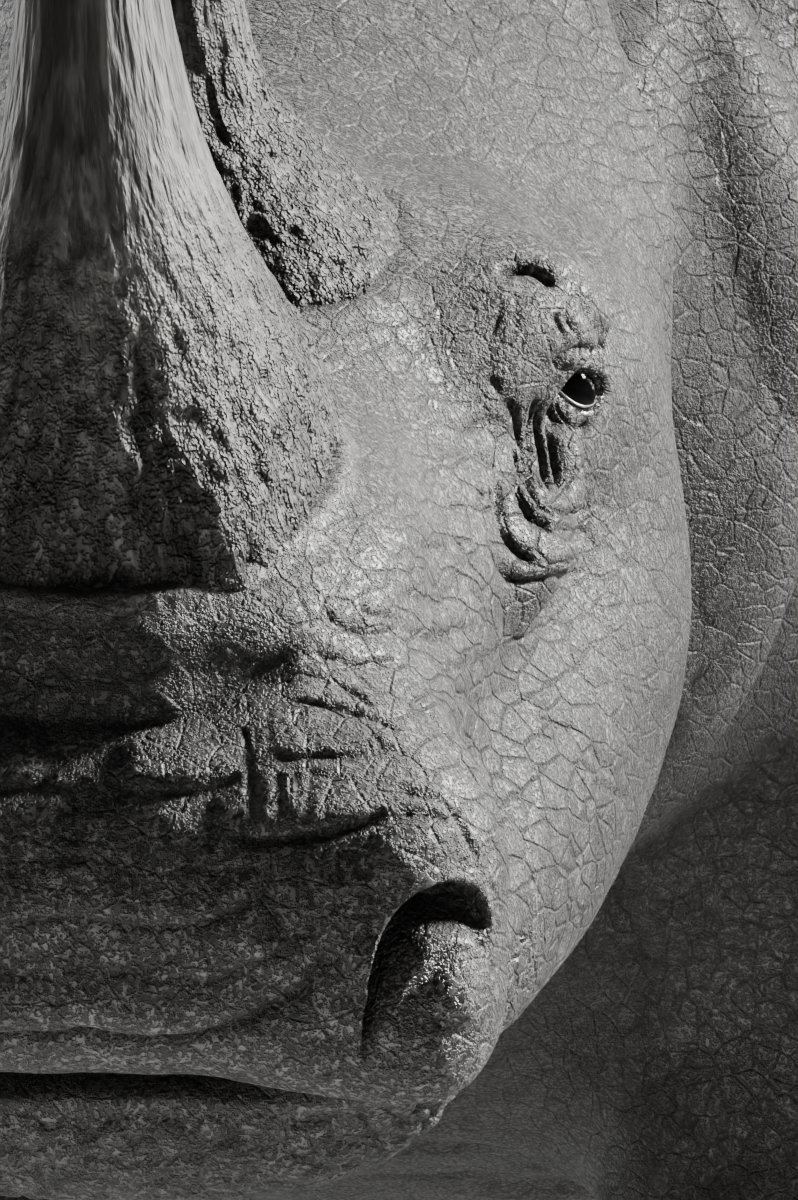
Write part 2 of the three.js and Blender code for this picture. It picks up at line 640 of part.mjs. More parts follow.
/** The line of the mouth: a shallow slot between the lips, round the front of the muzzle. */
function cutMouth(head) {
  const { above, gape, depth, corner, round } = MOUTH;
  const beyond = 400;
  const around = boxSolid([-beyond, -HEAD_LENGTH - depth, -gape / 2], [beyond, -corner, gape / 2]);
  const [width, front] = [JAW(JAW_ENDS.front)[2] - depth + 14, JAW_ENDS.front - depth];
  const tongue = new THREE.Shape();
  tongue.moveTo(-width, 0);
  tongue.lineTo(-width, front - round);
  tongue.quadraticCurveTo(-width, front, -width + round, front);
  tongue.lineTo(width - round, front);
  tongue.quadraticCurveTo(width, front, width, front - round);
  tongue.lineTo(width, 0);
  const core = new THREE.ExtrudeGeometry(tongue, { depth: 4 * gape, bevelEnabled: false, curveSegments: 6 });
  core.scale(1, -1, 1).translate(0, 0, -2 * gape);
  reverseFaces(core);
  const slot = around.subtract(solidOf(core));
  return head.subtract(slot.transform(onHead(0, 0, above).toArray()));
}

/** Turns a mirrored geometry's faces to point out again. */
function reverseFaces(geometry) {
  const points = geometry.getAttribute("position");
  const [a, b] = [new THREE.Vector3(), new THREE.Vector3()];
  for (let i = 0; i < points.count; i += 3) {
    a.fromBufferAttribute(points, i + 1);
    b.fromBufferAttribute(points, i + 2);
    points.setXYZ(i + 1, b.x, b.y, b.z);
    points.setXYZ(i + 2, a.x, a.y, a.z);
  }
}

// --- regions -----------------------------------------------------------------------------------------------

/** A half space that starts at a turned plane: everything that lies behind it, or ahead of it. */
function halfSpace(plane, ahead, gap) {
  const place = new THREE.Matrix4()
    .makeTranslation(0, -plane.forward, plane.height)
    .multiply(new THREE.Matrix4().makeRotationX(plane.lean));
  const far = 4000;
  return ahead
    ? boxSolid([-far, -far, -far], [far, -gap / 2, far], place)
    : boxSolid([-far, gap / 2, -far], [far, far, far], place);
}

/** The plane between head and neck, as the body's frame sees it. */
function skullPlane() {
  const centre = new THREE.Vector3(0, 0, 0).applyMatrix4(onHead(SKULL_CUT.along, 0, SKULL_CUT.above));
  return { forward: -centre.y, height: centre.z, lean: HEAD_PITCH - SKULL_CUT.lean };
}

const LEG_BOX = { inner: 60, outer: 520, reach: 340 };

/** The corners of the box that holds one leg between two heights. */
function legCorners(leg, low, high, margin = 0) {
  const x = [LEG_BOX.inner - margin, LEG_BOX.outer + margin].map((v) => v * leg.side).sort((a, b) => a - b);
  const reach = LEG_BOX.reach + margin;
  return [[x[0], -leg.forward - reach, low], [x[1], -leg.forward + reach, high]];
}

/** The box itself, a little wider than the leg's mesh. */
function legBox(leg, low, high) {
  return boxSolid(...legCorners(leg, low, high, 20));
}

const seats = {
  head: [
    ...Object.values(HORNS).map((horn) => hornSolid(horn, GAP)),
    ...[1, -1].map((side) => earSolid(side, GAP)),
  ],
};

function buildHead() {
  const frame = headFrame();
  let head = meshField(fleshDistance, [-340, -1034, -594], [340, 190, 92], [40, 38, 37], frame);
  head = head.intersect(halfSpace(skullPlane(), true, GAP));
  for (const side of [1, -1]) head = cutNostril(addEye(head, side), side);
  head = cutMouth(head);
  for (const seat of seats.head) head = head.subtract(seat);
  return largest(head);
}

function buildNeck() {
  let neck = meshField(fleshDistance, [-500, -3060, 640], [500, -2180, 1840], [56, 48, 58]);
  neck = neck.intersect(halfSpace(NECK_CUT, true, GAP)).intersect(halfSpace(skullPlane(), false, GAP));
  for (const seat of seats.head) neck = neck.subtract(seat);
  return largest(neck);
}

function buildTorso() {
  let torso = meshField(fleshDistance, [-720, -2620, 480], [720, 90, 1860], [110, 98, 98]);
  torso = torso.intersect(halfSpace(NECK_CUT, false, GAP));
  for (const leg of LEGS) torso = torso.subtract(legBox(leg, -10, LEG_CUT + GAP / 2));
  return largest(torso.subtract(tailSolid(GAP)));
}

function buildLeg(leg) {
  const whole = meshField(fleshDistance, ...legCorners(leg, 90, 740), [56, 58, 72]);
  return largest(whole.intersect(legBox(leg, FOOT_CUT + GAP / 2, LEG_CUT - GAP / 2)));
}

function buildFoot(leg, nails) {
  let foot = meshField(fleshDistance, ...legCorners(leg, -56, 232), [50, 50, 50]);
  foot = foot.intersect(legBox(leg, 0, FOOT_CUT - GAP / 2));
  for (const nail of nails) foot = foot.subtract(nail);
  return largest(foot);
}

// --- the model ---------------------------------------------------------------------------------------------

const MATERIALS = {
  skin: new THREE.MeshStandardMaterial({ color: 0x6f6a63, roughness: 0.78, metalness: 0 }),
  horn: new THREE.MeshStandardMaterial({ color: 0x5c564c, roughness: 0.7, metalness: 0 }),
  nail: new THREE.MeshStandardMaterial({ color: 0x4f4a42, roughness: 0.55, metalness: 0 }),
  eye: new THREE.MeshStandardMaterial({ color: 0x14100d, roughness: 0.08, metalness: 0 }),
};

const rhinoceros = new THREE.Group();

function place(name, solid, material) {
  const mesh = new THREE.Mesh(geometryOf(solid), MATERIALS[material]);
  mesh.name = name;
  rhinoceros.add(mesh);
}

place("head", buildHead(), "skin");
place("neck", buildNeck(), "skin");
place("torso", buildTorso(), "skin");
place("tail", largest(tailWithTuft()), "skin");
for (const [name, horn] of Object.entries(HORNS)) place(name, hornSolid(horn), "horn");
for (const [side, hand] of [[1, "left"], [-1, "right"]]) {
  place(`ear_${hand}`, largest(earSolid(side)), "skin");
  place(`eye_${hand}`, eyeSolid(side), "eye");
}
for (const leg of LEGS) {
  const toes = toesOf(leg);
  place(`${leg.name}_leg`, buildLeg(leg), "skin");
  place(`${leg.name}_foot`, buildFoot(leg, toes.map((toe, i) => nailSolid(toe, i === 1, GAP))), "skin");
  toes.forEach((toe, i) => place(`${leg.name}_nail_${i + 1}`, nailSolid(toe, i === 1), "nail"));
}

// The origin is on the ground, under the middle of the animal's box.
const box = new THREE.Box3().setFromObject(rhinoceros);
const middle = box.getCenter(new THREE.Vector3());
rhinoceros.position.set(-middle.x, -middle.y, -box.min.z);

export default rhinoceros;
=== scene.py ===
"""The looks of a life-size adult white rhinoceros.

One skin is grown over the flesh as a smooth field of distances, then folded, creased and cracked.
Horns, eyes, nails, lashes, ear fringes and the tail's tuft are pieces of their own.

Lengths in the tables are millimetres. "forward" is counted from the rump towards the nose, and the head has
a frame of its own: "along" runs from the crest of the skull to the lips, "above" is square to it.
"""

import json
import math

import bmesh
import bpy
import numpy as np
from mathutils import Matrix, Vector

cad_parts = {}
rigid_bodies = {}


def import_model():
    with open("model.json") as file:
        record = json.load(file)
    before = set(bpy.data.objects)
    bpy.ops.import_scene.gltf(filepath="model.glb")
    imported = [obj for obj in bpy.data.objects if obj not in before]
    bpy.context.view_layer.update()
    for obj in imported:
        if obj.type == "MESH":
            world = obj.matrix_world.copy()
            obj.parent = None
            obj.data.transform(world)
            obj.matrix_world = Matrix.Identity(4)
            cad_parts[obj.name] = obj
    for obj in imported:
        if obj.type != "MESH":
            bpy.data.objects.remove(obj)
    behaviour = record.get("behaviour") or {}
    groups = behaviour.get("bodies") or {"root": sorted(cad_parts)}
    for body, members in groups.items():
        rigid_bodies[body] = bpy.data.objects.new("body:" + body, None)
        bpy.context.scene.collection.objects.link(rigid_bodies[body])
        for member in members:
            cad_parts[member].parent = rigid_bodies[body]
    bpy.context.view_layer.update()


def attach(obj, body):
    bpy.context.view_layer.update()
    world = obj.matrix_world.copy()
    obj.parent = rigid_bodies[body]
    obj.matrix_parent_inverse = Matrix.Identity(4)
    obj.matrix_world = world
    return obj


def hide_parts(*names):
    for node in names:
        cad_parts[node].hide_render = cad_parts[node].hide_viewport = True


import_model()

bl_info = {
    "name": "White Rhinoceros",
    "version": (1, 0, 0),
    "blender": (4, 5, 0),
    "location": "View3D > Sidebar > Rhinoceros",
    "description": "Builds the skin, horns, eyes, nails and hair of a white rhinoceros",
    "category": "Add Mesh",
}

BODY = "root"
MM = 0.001
ORIGIN_FORWARD = 1750.335  # how far forward of the rump the origin lies
CREST = (2770.0, 1462.0)  # top of the skull: forward, height
HEAD_PITCH = math.radians(32)

# Rows of forward, top, bottom, half width, squareness, narrowing above, narrowing below.
TRUNK_ROWS = [
    (0, 1392, 900, 340, 2.2, 0.1, 0.1), (300, 1532, 745, 440, 2.3, 0.12, 0.08),
    (500, 1580, 690, 490, 2.35, 0.14, 0.04), (700, 1568, 640, 532, 2.4, 0.16, 0.02),
    (900, 1536, 606, 566, 2.4, 0.16, 0.02), (1150, 1508, 584, 590, 2.4, 0.16, 0.03),
    (1400, 1508, 590, 582, 2.4, 0.17, 0.05), (1650, 1536, 622, 552, 2.4, 0.18, 0.08),
    (1850, 1588, 660, 516, 2.4, 0.2, 0.1), (2050, 1656, 698, 474, 2.4, 0.24, 0.12),
    (2250, 1718, 742, 428, 2.4, 0.28, 0.16), (2400, 1704, 790, 384, 2.35, 0.3, 0.18),
    (2540, 1634, 826, 344, 2.3, 0.3, 0.18), (2610, 1590, 846, 304, 2.3, 0.3, 0.18),
    (2690, 1536, 874, 208, 2.3, 0.3, 0.18), (2790, 1470, 920, 172, 2.2, 0.28, 0.2),
    (2930, 1395, 1010, 150, 2.2, 0.2, 0.22),
]
TRUNK_ENDS = {"rear": 0, "rear_round": 300, "front": 2930, "front_round": 170}
# Rows of along, top, bottom, half width, squareness, narrowing above, narrowing below.
SKULL_ROWS = [
    (-140, -20, -340, 150, 2.2, 0.2, 0.2), (0, 0, -380, 180, 2.2, 0.3, 0.12),
    (100, -12, -404, 206, 2.25, 0.36, 0.06), (200, -32, -416, 208, 2.3, 0.38, 0.04),
    (300, -50, -412, 204, 2.4, 0.38, 0.04), (400, -58, -396, 184, 2.4, 0.36, 0.06),
    (480, -60, -376, 173, 2.5, 0.34, 0.08), (560, -66, -356, 167, 2.5, 0.3, 0.08),
    (640, -78, -340, 160, 2.6, 0.26, 0.06), (720, -92, -328, 156, 2.8, 0.23, 0.02),
    (800, -106, -321, 161, 3.0, 0.22, 0.0), (860, -124, -319, 169, 3.2, 0.22, 0.0),
    (920, -152, -319, 172, 3.4, 0.2, 0.0), (980, -178, -321, 168, 3.4, 0.16, 0.0),
]
SKULL_ENDS = {"rear": -140, "rear_round": 60, "front": 968, "front_round": 80, "square": 3}
JAW_ROWS = [
    (70, -190, -508, 168, 2.3, 0.3, 0.2), (180, -190, -540, 198, 2.5, 0.28, 0.1),
    (300, -190, -554, 212, 2.7, 0.26, 0.04), (450, -196, -536, 212, 2.8, 0.24, 0.02),
    (600, -216, -498, 196, 2.8, 0.2, 0.04), (720, -232, -460, 180, 2.8, 0.1, 0.1),
    (830, -244, -424, 167, 2.8, 0.0, 0.18), (940, -256, -394, 160, 3.0, 0.0, 0.2),
]
JAW_ENDS = {"rear": 70, "rear_round": 100, "front": 936, "front_round": 64, "square": 2.6}
# Rows of height, side, forward of the leg's line, half width, half length.
FORELEG_ROWS = [
    (-60, 272, 12, 132, 142), (40, 272, 12, 137, 149), (100, 272, 8, 132, 140), (180, 274, -2, 118, 124),
    (270, 276, -6, 113, 117), (390, 278, 4, 124, 130), (500, 282, -2, 126, 136), (620, 290, -14, 142, 162),
    (760, 302, -22, 158, 206), (900, 316, 6, 166, 240), (1080, 330, 44, 156, 256), (1300, 318, 58, 118, 232),
]
HINDLEG_ROWS = [
    (-60, 256, 6, 122, 134), (40, 256, 6, 127, 141), (100, 256, 2, 123, 132), (180, 256, -10, 110, 116),
    (280, 256, -26, 104, 110), (400, 258, -44, 110, 134), (500, 264, -26, 122, 150), (620, 282, 22, 146, 194),
    (760, 304, 62, 174, 252), (900, 318, 84, 190, 290), (1080, 318, 70, 190, 298), (1300, 296, 30, 142, 240),
]
LEG_END = {"rear": -1e4, "rear_round": 1, "front": 1300, "front_round": 200}
SOLE_ROUND = 14  # how softly a sole turns up from the ground
LEG_FADE = 900  # height above which a stride no longer moves the leg
TOE_ANGLES = [math.radians(a) for a in (-58, 0, 58)]
# Rows of share of the tail's length, forward, side, height, half depth, half width.
TAIL_ROWS = [
    (0, 150, 0, 1330, 76, 76), (0.2, 40, 0, 1285, 62, 58), (0.4, -20, 2, 1190, 40, 36),
    (0.6, -34, 6, 1050, 30, 26), (0.8, -30, 10, 890, 22, 19), (1, -30, 12, 740, 15, 13),
]
# Swellings of the head: along, side, above, radii, reach of the blend.
SWELLINGS = [
    (300, 156, -350, (180, 66, 140), 60), (440, 122, -124, (96, 52, 42), 50),
    (346, 158, -206, (104, 42, 50), 50), (470, 161, -133, (46, 43, 45), 18),
    (500, 144, -136, (46, 30, 40), 40),
    (476, 176, -168, (25, 25, 25), 9), (512, 158, -200, (42, 35, 36), 16), (562, 154, -216, (54, 35, 38), 20),
    (936, 146, -286, (32, 29, 34), 16),
    (886, 132, -240, (66, 50, 62), 34),
    (914, 118, -290, (50, 56, 36), 34), (760, 0, -132, (150, 132, 58), 34),
    (502, 0, -108, (118, 112, 58), 34), (38, 112, -84, (46, 42, 46), 34),
]
# Creases that ring the neck and trunk: forward, lean, depth, width, low, high.
RINGS = [
    (2650, 0.16, 16, 40, 850, 1300), (2510, 0.2, 22, 46, 790, 1400),
    (1835, -0.12, 18, 55, 640, 1150), (850, 0.28, 22, 60, 560, 980),
]
EYE = {"along": 476, "side": 176, "above": -168, "radius": 21}
GAZE = (0.53, 0.72, 0.4)  # along, side, above

# The eye's opening: its half length, the height of its upper margin and the depth of its lower one.
OPENING = {"half": 19.5, "upper": 6.5, "lower": 12.5}
# Each nostril: a line on the muzzle as along, side, above, with the hollow's radius and depth there.
NOSTRIL_LINE = [
    (972, 127, -286, 2.6, 3), (970, 131, -269, 4, 10), (965, 135, -255, 5.5, 20), (961, 140, -242, 8, 30),
        (957, 146, -233, 10.5, 36), (951, 155, -226, 12, 34), (944, 163, -226, 12, 28),
        (937, 171, -230, 10, 19), (931, 176, -239, 6, 8),
]
NOSTRIL_WAY = (-0.72, -0.66, 0.2)
# the first two marks are painted shade, the second also a darker tint round the eye
MARKS = ("crease", "dark", "wet", "crack", "body", "pale", "rim")  # what the hide reads at each point
MOUTH = {"above": -323, "corner": 780, "depth": 17, "width": 4.2}
# Folds and creases of the head: depth, width, swelling of the flesh beside them, then along, side, above.
BROAD = -1  # stands for the swelling of a soft hollow or roll
FOLDS = [
    (6, 2.6, 2.2, [(515, 154, -91), (507, 156, -89), (502, 162, -89), (500, 169, -91), (501, 175, -95),
        (503, 182, -101)]),
    (5, 1.8, 1.6, [(524, 179, -137), (521, 182, -133), (514, 188, -131), (507, 193, -132), (496, 199, -137)]),
    (3.6, 1.7, 1, [(552, 157, -139), (547, 161, -149), (544, 164, -164), (555, 167, -174),
        (569, 170, -180), (573, 174, -184)]),
    (4.6, 1.7, 0.8, [(536, 170, -145), (531, 171, -159), (541, 171, -171), (558, 171, -178),
        (570, 174, -184)]),
    (4.6, 1.7, 0.8, [(530, 174, -149), (527, 175, -165), (537, 177, -176), (550, 179, -184),
        (563, 179, -187)]),
    (4.6, 1.8, 1, [(520, 178, -158), (525, 180, -172), (535, 182, -180), (542, 184, -187), (549, 185, -192)]),
    (1.6, 1, 0, [(539, 167, -149), (540, 166, -161), (548, 168, -173)]),
    (4.6, 1.8, 2, [(573, 174, -184), (575, 178, -189), (566, 184, -196), (546, 189, -206),
        (445, 186, -247), (437, 189, -246)]),
    (3.8, 1.5, 1.6, [(546, 162, -160), (555, 164, -171), (568, 168, -178), (577, 173, -184),
        (579, 178, -190), (576, 184, -197)]),
    (3.8, 1.6, 2.2, [(562, 158, -167), (571, 161, -172), (583, 165, -179), (588, 169, -184),
        (590, 173, -189), (585, 179, -194), (574, 186, -202), (453, 185, -257)]),
    (4.4, 1.8, 1.4, [(580, 155, -167), (595, 158, -175), (605, 159, -181), (611, 162, -188),
        (611, 166, -197), (608, 171, -203), (603, 177, -209)]),
    (4, 1.7, 2.4, [(638, 155, -180), (637, 158, -189), (629, 160, -198), (621, 164, -207),
        (612, 171, -214), (602, 178, -218), (586, 185, -222), (472, 184, -270), (455, 191, -274)]),
    (2, 1.1, 0, [(622, 149, -163), (608, 153, -169), (596, 157, -174)]),
    (2, 1.1, 0, [(635, 149, -166), (617, 154, -172), (604, 159, -179)]),
    (2.6, 1.3, 0, [(600, 117, -118), (594, 124, -125), (591, 132, -133), (587, 139, -142),
        (571, 146, -147), (559, 153, -150), (550, 160, -159)]),
    (2.8, 1.3, 0, [(626, 122, -126), (614, 131, -135), (604, 138, -143), (594, 145, -151),
        (580, 154, -165), (576, 159, -171)]),
    (1.8, 1.1, 0, [(666, 136, -146), (656, 142, -155), (637, 148, -164)]),
    (1.8, 1.1, 0, [(753, 141, -161), (723, 144, -169), (694, 148, -173), (662, 153, -179)]),
    (1.8, 1.1, 0, [(676, 156, -198), (690, 151, -182), (699, 147, -172), (698, 145, -166)]),
    (2, 1.1, 0, [(593, 173, -242), (517, 174, -270), (490, 182, -276), (469, 189, -278)]),
    (3.2, 1.5, 0.8, [(516, 180, -159), (512, 182, -168), (507, 187, -175), (497, 191, -179),
        (493, 194, -176)]),
    (2.6, 1.4, 0, [(546, 185, -192), (536, 189, -194), (526, 191, -194), (511, 193, -194)]),
    (2.6, 1.2, 0, [(513, 180, -108), (515, 182, -116), (516, 184, -121), (521, 182, -129)]),
    (2.6, 1.2, 0, [(511, 185, -114), (510, 189, -121), (508, 192, -129)]),
    (1.2, 1, 0, [(519, 160, -96), (529, 163, -106), (539, 162, -116)]),
    (1.2, 1, 0, [(524, 154, -96), (535, 154, -104), (544, 153, -113)]),
    (1.2, 1, 0, [(533, 166, -113), (536, 166, -120), (540, 166, -129)]),
    (1.6, 1, 0, [(590, 141, -145), (605, 143, -150), (616, 145, -155)]),
    (1.6, 1.1, 0, [(526, 191, -192), (439, 189, -232), (431, 191, -241)]),
    (1.8, 1.2, 0, [(452, 184, -252), (444, 189, -261), (444, 193, -270)]),
    (6, 6, 3, [(911, -45, -143), (914, -27, -143), (917, -11, -145), (918, 6, -146), (916, 28, -147),
        (914, 39, -147), (909, 52, -143), (900, 65, -137), (890, 78, -133), (878, 90, -130),
        (870, 97, -128)]),
    (3.6, 2.6, 2, [(931, 11, -161), (938, 17, -167), (941, 25, -170), (941, 39, -170), (940, 51, -169),
        (937, 61, -167), (933, 69, -165), (929, 74, -163)]),
    (2.6, 2, 0.6, [(959, -39, -195), (959, -23, -194), (959, -8, -193), (959, 3, -194), (960, 25, -195)]),
    (4, 2.6, 2.4, [(952, 66, -185), (952, 78, -187), (950, 93, -187), (947, 106, -187), (944, 116, -186),
        (937, 129, -183), (930, 142, -183)]),
    (3.2, 2.2, 1.6, [(924, 82, -160), (921, 94, -162), (917, 105, -162), (914, 117, -164),
        (908, 127, -164), (898, 139, -166)]),
    (2.6, 2, 1, [(960, 49, -196), (960, 62, -199), (958, 76, -198), (958, 86, -201)]),
    (3.6, 2.6, 2, [(967, -40, -224), (967, -24, -220), (967, -13, -217), (967, 6, -220), (967, 23, -222),
        (967, 40, -222), (966, 55, -221), (965, 69, -217), (962, 79, -211), (959, 90, -203)]),
    (3.6, 2.6, 2, [(968, 34, -243), (968, 45, -248), (967, 61, -248), (966, 77, -240), (964, 92, -234),
        (963, 103, -226), (961, 111, -217), (959, 120, -213), (956, 131, -212)]),
    (5, 3.6, 3, [(966, -43, -275), (966, -21, -276), (966, 5, -277), (966, 22, -280), (965, 43, -281),
        (966, 59, -276), (967, 75, -269), (966, 88, -261), (965, 100, -252), (964, 109, -241),
        (963, 113, -230), (962, 110, -221)]),
    (2.2, 1.8, 0.6, [(968, -38, -234), (968, -25, -237), (968, -13, -236), (968, 1, -234)]),
    (2.2, 1.8, 0.6, [(968, 1, -254), (968, 14, -247), (968, 25, -245), (968, 34, -243)]),
    (2.4, 1.8, 1, [(936, -39, -165), (935, -25, -164), (934, -10, -163), (940, 2, -168), (941, 17, -170)]),
    (2, 1.6, 0, [(968, -33, -252), (968, -19, -250), (968, -8, -252), (968, 1, -254)]),
    (2, 1.6, 0.8, [(965, 62, -214), (962, 76, -208), (960, 86, -207)]),
    (2.8, 1.9, 0, [(918, -19, -148), (936, -16, -165), (953, -14, -183), (963, -13, -203), (967, -12, -221)]),
    (2.4, 1.7, 0, [(939, -1, -168), (951, 0, -180), (958, 2, -192)]),
    (2.4, 1.7, 0, [(924, 5, -155), (938, 6, -166)]),
    (2.8, 1.9, 0, [(960, 4, -196), (966, 5, -214), (968, 2, -234), (968, 0, -254)]),
    (3, 2, 0, [(945, 30, -174), (954, 30, -186), (964, 26, -206), (967, 25, -223), (968, 25, -244),
        (967, 24, -269)]),
    (2.6, 1.9, 0, [(940, -31, -169), (952, -26, -182), (957, -23, -190), (964, -28, -208), (967, -29, -222)]),
    (2.6, 1.9, 0, [(967, -21, -220), (968, -23, -236), (968, -29, -250), (968, -36, -265)]),
    (2.2, 1.7, 0, [(960, 19, -196), (964, 21, -207)]),
    (2.6, 1.8, 0, [(961, 35, -198), (964, 33, -207), (967, 35, -225), (968, 36, -236), (968, 31, -248),
        (967, 29, -269)]),
    (2.4, 1.8, 0, [(952, 49, -183), (959, 50, -196), (965, 49, -211), (967, 42, -223)]),
    (2.4, 1.8, 0, [(940, 58, -170), (950, 60, -182), (957, 59, -192)]),
    (2.6, 1.8, 0, [(953, 70, -187), (959, 66, -196), (963, 63, -206), (965, 62, -215)]),
    (3.2, 2, 0, [(907, 69, -147), (920, 73, -157), (931, 76, -164), (943, 78, -176), (951, 77, -185)]),
    (2.2, 1.5, 0, [(897, 74, -140), (909, 76, -150), (921, 79, -158)]),
    (2.2, 1.5, 0, [(895, 80, -141), (904, 82, -149), (918, 84, -157)]),
    (2.6, 1.6, 0, [(926, 88, -163), (941, 90, -176), (949, 90, -185)]),
    (2, 1.5, 0, [(892, 95, -146), (904, 96, -152), (916, 99, -160)]),
    (2.4, 1.6, 0, [(922, 105, -165), (934, 102, -172), (946, 102, -185)]),
    (2.2, 1.5, 0, [(923, 94, -163), (930, 97, -168), (939, 98, -176)]),
    (2.8, 1.8, 0, [(952, 86, -189), (957, 86, -199), (961, 84, -208), (963, 88, -220), (964, 91, -231),
        (964, 96, -243)]),
    (2.6, 1.7, 0, [(949, 101, -188), (955, 100, -198), (959, 103, -209), (961, 108, -217)]),
    (2.2, 1.5, 0, [(947, 111, -189), (954, 111, -198), (957, 115, -208)]),
    (2.4, 1.6, 0, [(943, 122, -186), (950, 123, -196), (955, 127, -207), (956, 130, -212)]),
    (2.2, 1.6, 0, [(940, 128, -186), (948, 128, -195), (952, 133, -204)]),
    (2.2, 1.7, 0, [(966, 55, -220), (967, 55, -232), (967, 58, -240)]),
    (2.4, 1.7, 0, [(967, 41, -224), (968, 40, -243), (967, 41, -269)]),
    (2.2, 1.6, 0, [(967, 68, -250), (967, 69, -257), (967, 74, -265)]),
    (2.2, 1.6, 0, [(966, 75, -242), (966, 78, -250), (966, 81, -254)]),
    (2.2, 1.6, 0, [(968, 13, -249), (968, 12, -261)]),
    (2, 1.6, 0, [(968, -12, -223), (968, -13, -240), (968, -19, -258), (967, -22, -270)]),
    (2, 1.6, 0, [(968, -4, -234), (968, -7, -250), (968, -11, -268)]),
    (3, 1.8, 1.2, [(849, 102, -116), (854, 106, -124), (849, 115, -132), (836, 125, -140), (815, 134, -146)]),
    (2.6, 1.7, 1, [(840, 115, -125), (831, 124, -134), (812, 133, -145)]),
    (3, 1.8, 1.6, [(874, 97, -132), (868, 106, -137), (864, 116, -143), (852, 126, -147), (836, 135, -154)]),
    (2.6, 1.6, 1, [(886, 87, -136), (882, 97, -140), (878, 109, -145), (878, 119, -151), (884, 127, -157)]),
    (2.8, 1.7, 1.4, [(895, 86, -144), (892, 101, -148), (890, 113, -152), (889, 122, -156),
        (888, 132, -160), (888, 140, -165)]),
    (2.4, 1.5, 0.8, [(896, 126, -160), (903, 131, -164), (902, 140, -168)]),
    (3.2, 1.8, 1.6, [(921, 137, -175), (921, 147, -180), (918, 155, -184), (918, 162, -191),
        (919, 167, -197), (921, 172, -206), (923, 175, -214)]),
    (3.4, 2, 2, [(950, 93, -187), (947, 104, -187), (945, 113, -186), (941, 123, -184), (938, 133, -186),
        (934, 140, -185), (929, 148, -186), (924, 158, -190), (922, 164, -195)]),
    (2.4, 1.5, 0, [(936, 100, -173), (942, 101, -180), (948, 101, -186)]),
    (2.6, 1.6, 0, [(943, 122, -187), (949, 123, -195), (953, 127, -202), (954, 132, -208)]),
    (2.2, 1.5, 0, [(941, 129, -187), (947, 129, -194), (952, 130, -202)]),
    (2, 1.4, 0, [(937, 136, -186), (943, 137, -193)]),
    (2, 1.4, 0, [(949, 115, -192), (953, 118, -199), (957, 117, -207)]),
    (2, 1.4, 0, [(949, 108, -190), (954, 110, -198), (957, 108, -206)]),
    (2.4, 1.5, 0.6, [(929, 158, -194), (929, 164, -201), (930, 168, -208), (930, 170, -213)]),
    (2, 1.3, 0.4, [(933, 151, -192), (933, 158, -198), (933, 164, -205)]),
    (3, 1.8, 1.2, [(963, 94, -225), (962, 101, -223), (961, 109, -218), (959, 117, -213),
        (958, 124, -211), (957, 131, -212), (957, 135, -217)]),
    (2.4, 1.6, 0, [(961, 112, -219), (962, 114, -225), (963, 110, -235), (964, 105, -245), (965, 99, -253)]),
    (1.8, 1, 0, [(906, 169, -193), (908, 174, -201), (907, 179, -211), (894, 182, -217), (721, 169, -299),
        (706, 173, -304), (700, 176, -310), (702, 178, -317), (704, 180, -325)]),
    (1.6, 0.9, 0, [(889, 180, -209), (705, 169, -296), (693, 173, -302), (683, 178, -312)]),
    (1.8, 1, 0, [(915, 177, -212), (905, 182, -220), (737, 171, -307), (731, 174, -314), (722, 178, -323)]),
    (1.8, 1, 0, [(921, 168, -199), (923, 171, -206), (924, 174, -214), (919, 178, -218), (924, 176, -219),
        (923, 178, -224), (915, 182, -230), (901, 185, -240), (736, 177, -329)]),
    (1.6, 0.9, 0, [(931, 176, -236), (924, 179, -244), (916, 182, -250), (918, 181, -244),
        (912, 183, -242), (763, 172, -317)]),
    (1.4, 0.9, 0, [(705, 163, -286), (706, 168, -294), (677, 173, -298), (664, 177, -304)]),
    (1.4, 0.9, 0, [(702, 173, -304), (708, 176, -313), (697, 181, -328), (696, 183, -339)]),
    (3, 1.4, 1, [(821, 145, -167), (718, 153, -209), (598, 163, -252), (528, 174, -274), (466, 190, -278)]),
    (2.6, 1.4, 0.8, [(820, 132, -144), (795, 141, -161), (744, 148, -181), (691, 155, -202)]),
    (2.4, 1.2, 0.6, [(620, 159, -262), (608, 169, -283), (600, 179, -297), (567, 192, -317)]),
    (2, 1.2, 0, [(790, 152, -191), (685, 153, -245), (628, 160, -267), (592, 170, -282)]),
    (2.4, 1.2, 0.6, [(576, 198, -343), (548, 203, -358), (516, 207, -378), (484, 211, -391)]),
    (2.4, 1.2, 0.6, [(907, 169, -193), (912, 174, -204), (906, 180, -214), (728, 168, -299),
        (703, 171, -299), (674, 178, -310)]),
    (2.2, 1.2, 0, [(916, 176, -210), (733, 172, -308), (720, 178, -323), (686, 185, -345)]),
    (2, 1.2, 0, [(844, 159, -184), (693, 157, -275), (702, 168, -295)]),
    (2, 1.2, 0, [(807, 131, -135), (762, 140, -157), (711, 147, -175)]),
    (2.2, 1.2, 0, [(859, 135, -157), (858, 149, -168), (873, 160, -179), (886, 173, -195)]),
    (2, 1.2, 0, [(562, 196, -325), (554, 200, -339), (516, 208, -370)]),
    (2, 1.2, 0, [(609, 172, -286), (631, 175, -295), (666, 176, -302), (675, 182, -322)]),
    (2.2, 1.2, 0, [(768, 133, -127), (701, 140, -157), (662, 149, -170)]),
    (2, 1.1, 0, [(528, 183, -289), (530, 192, -305), (537, 197, -319)]),
    (2, 1.1, 0, [(595, 125, -126), (599, 134, -137), (591, 145, -150), (574, 156, -167)]),
    (2, 1.1, 0, [(554, 150, -127), (552, 158, -144), (545, 162, -160)]),
    (1.8, 1, 0, [(634, 128, -133), (606, 138, -143), (585, 147, -154)]),
    (3, 1.6, -1, [(498, 174, -93), (499, 185, -102), (497, 194, -114), (490, 201, -129), (389, 197, -182)]),
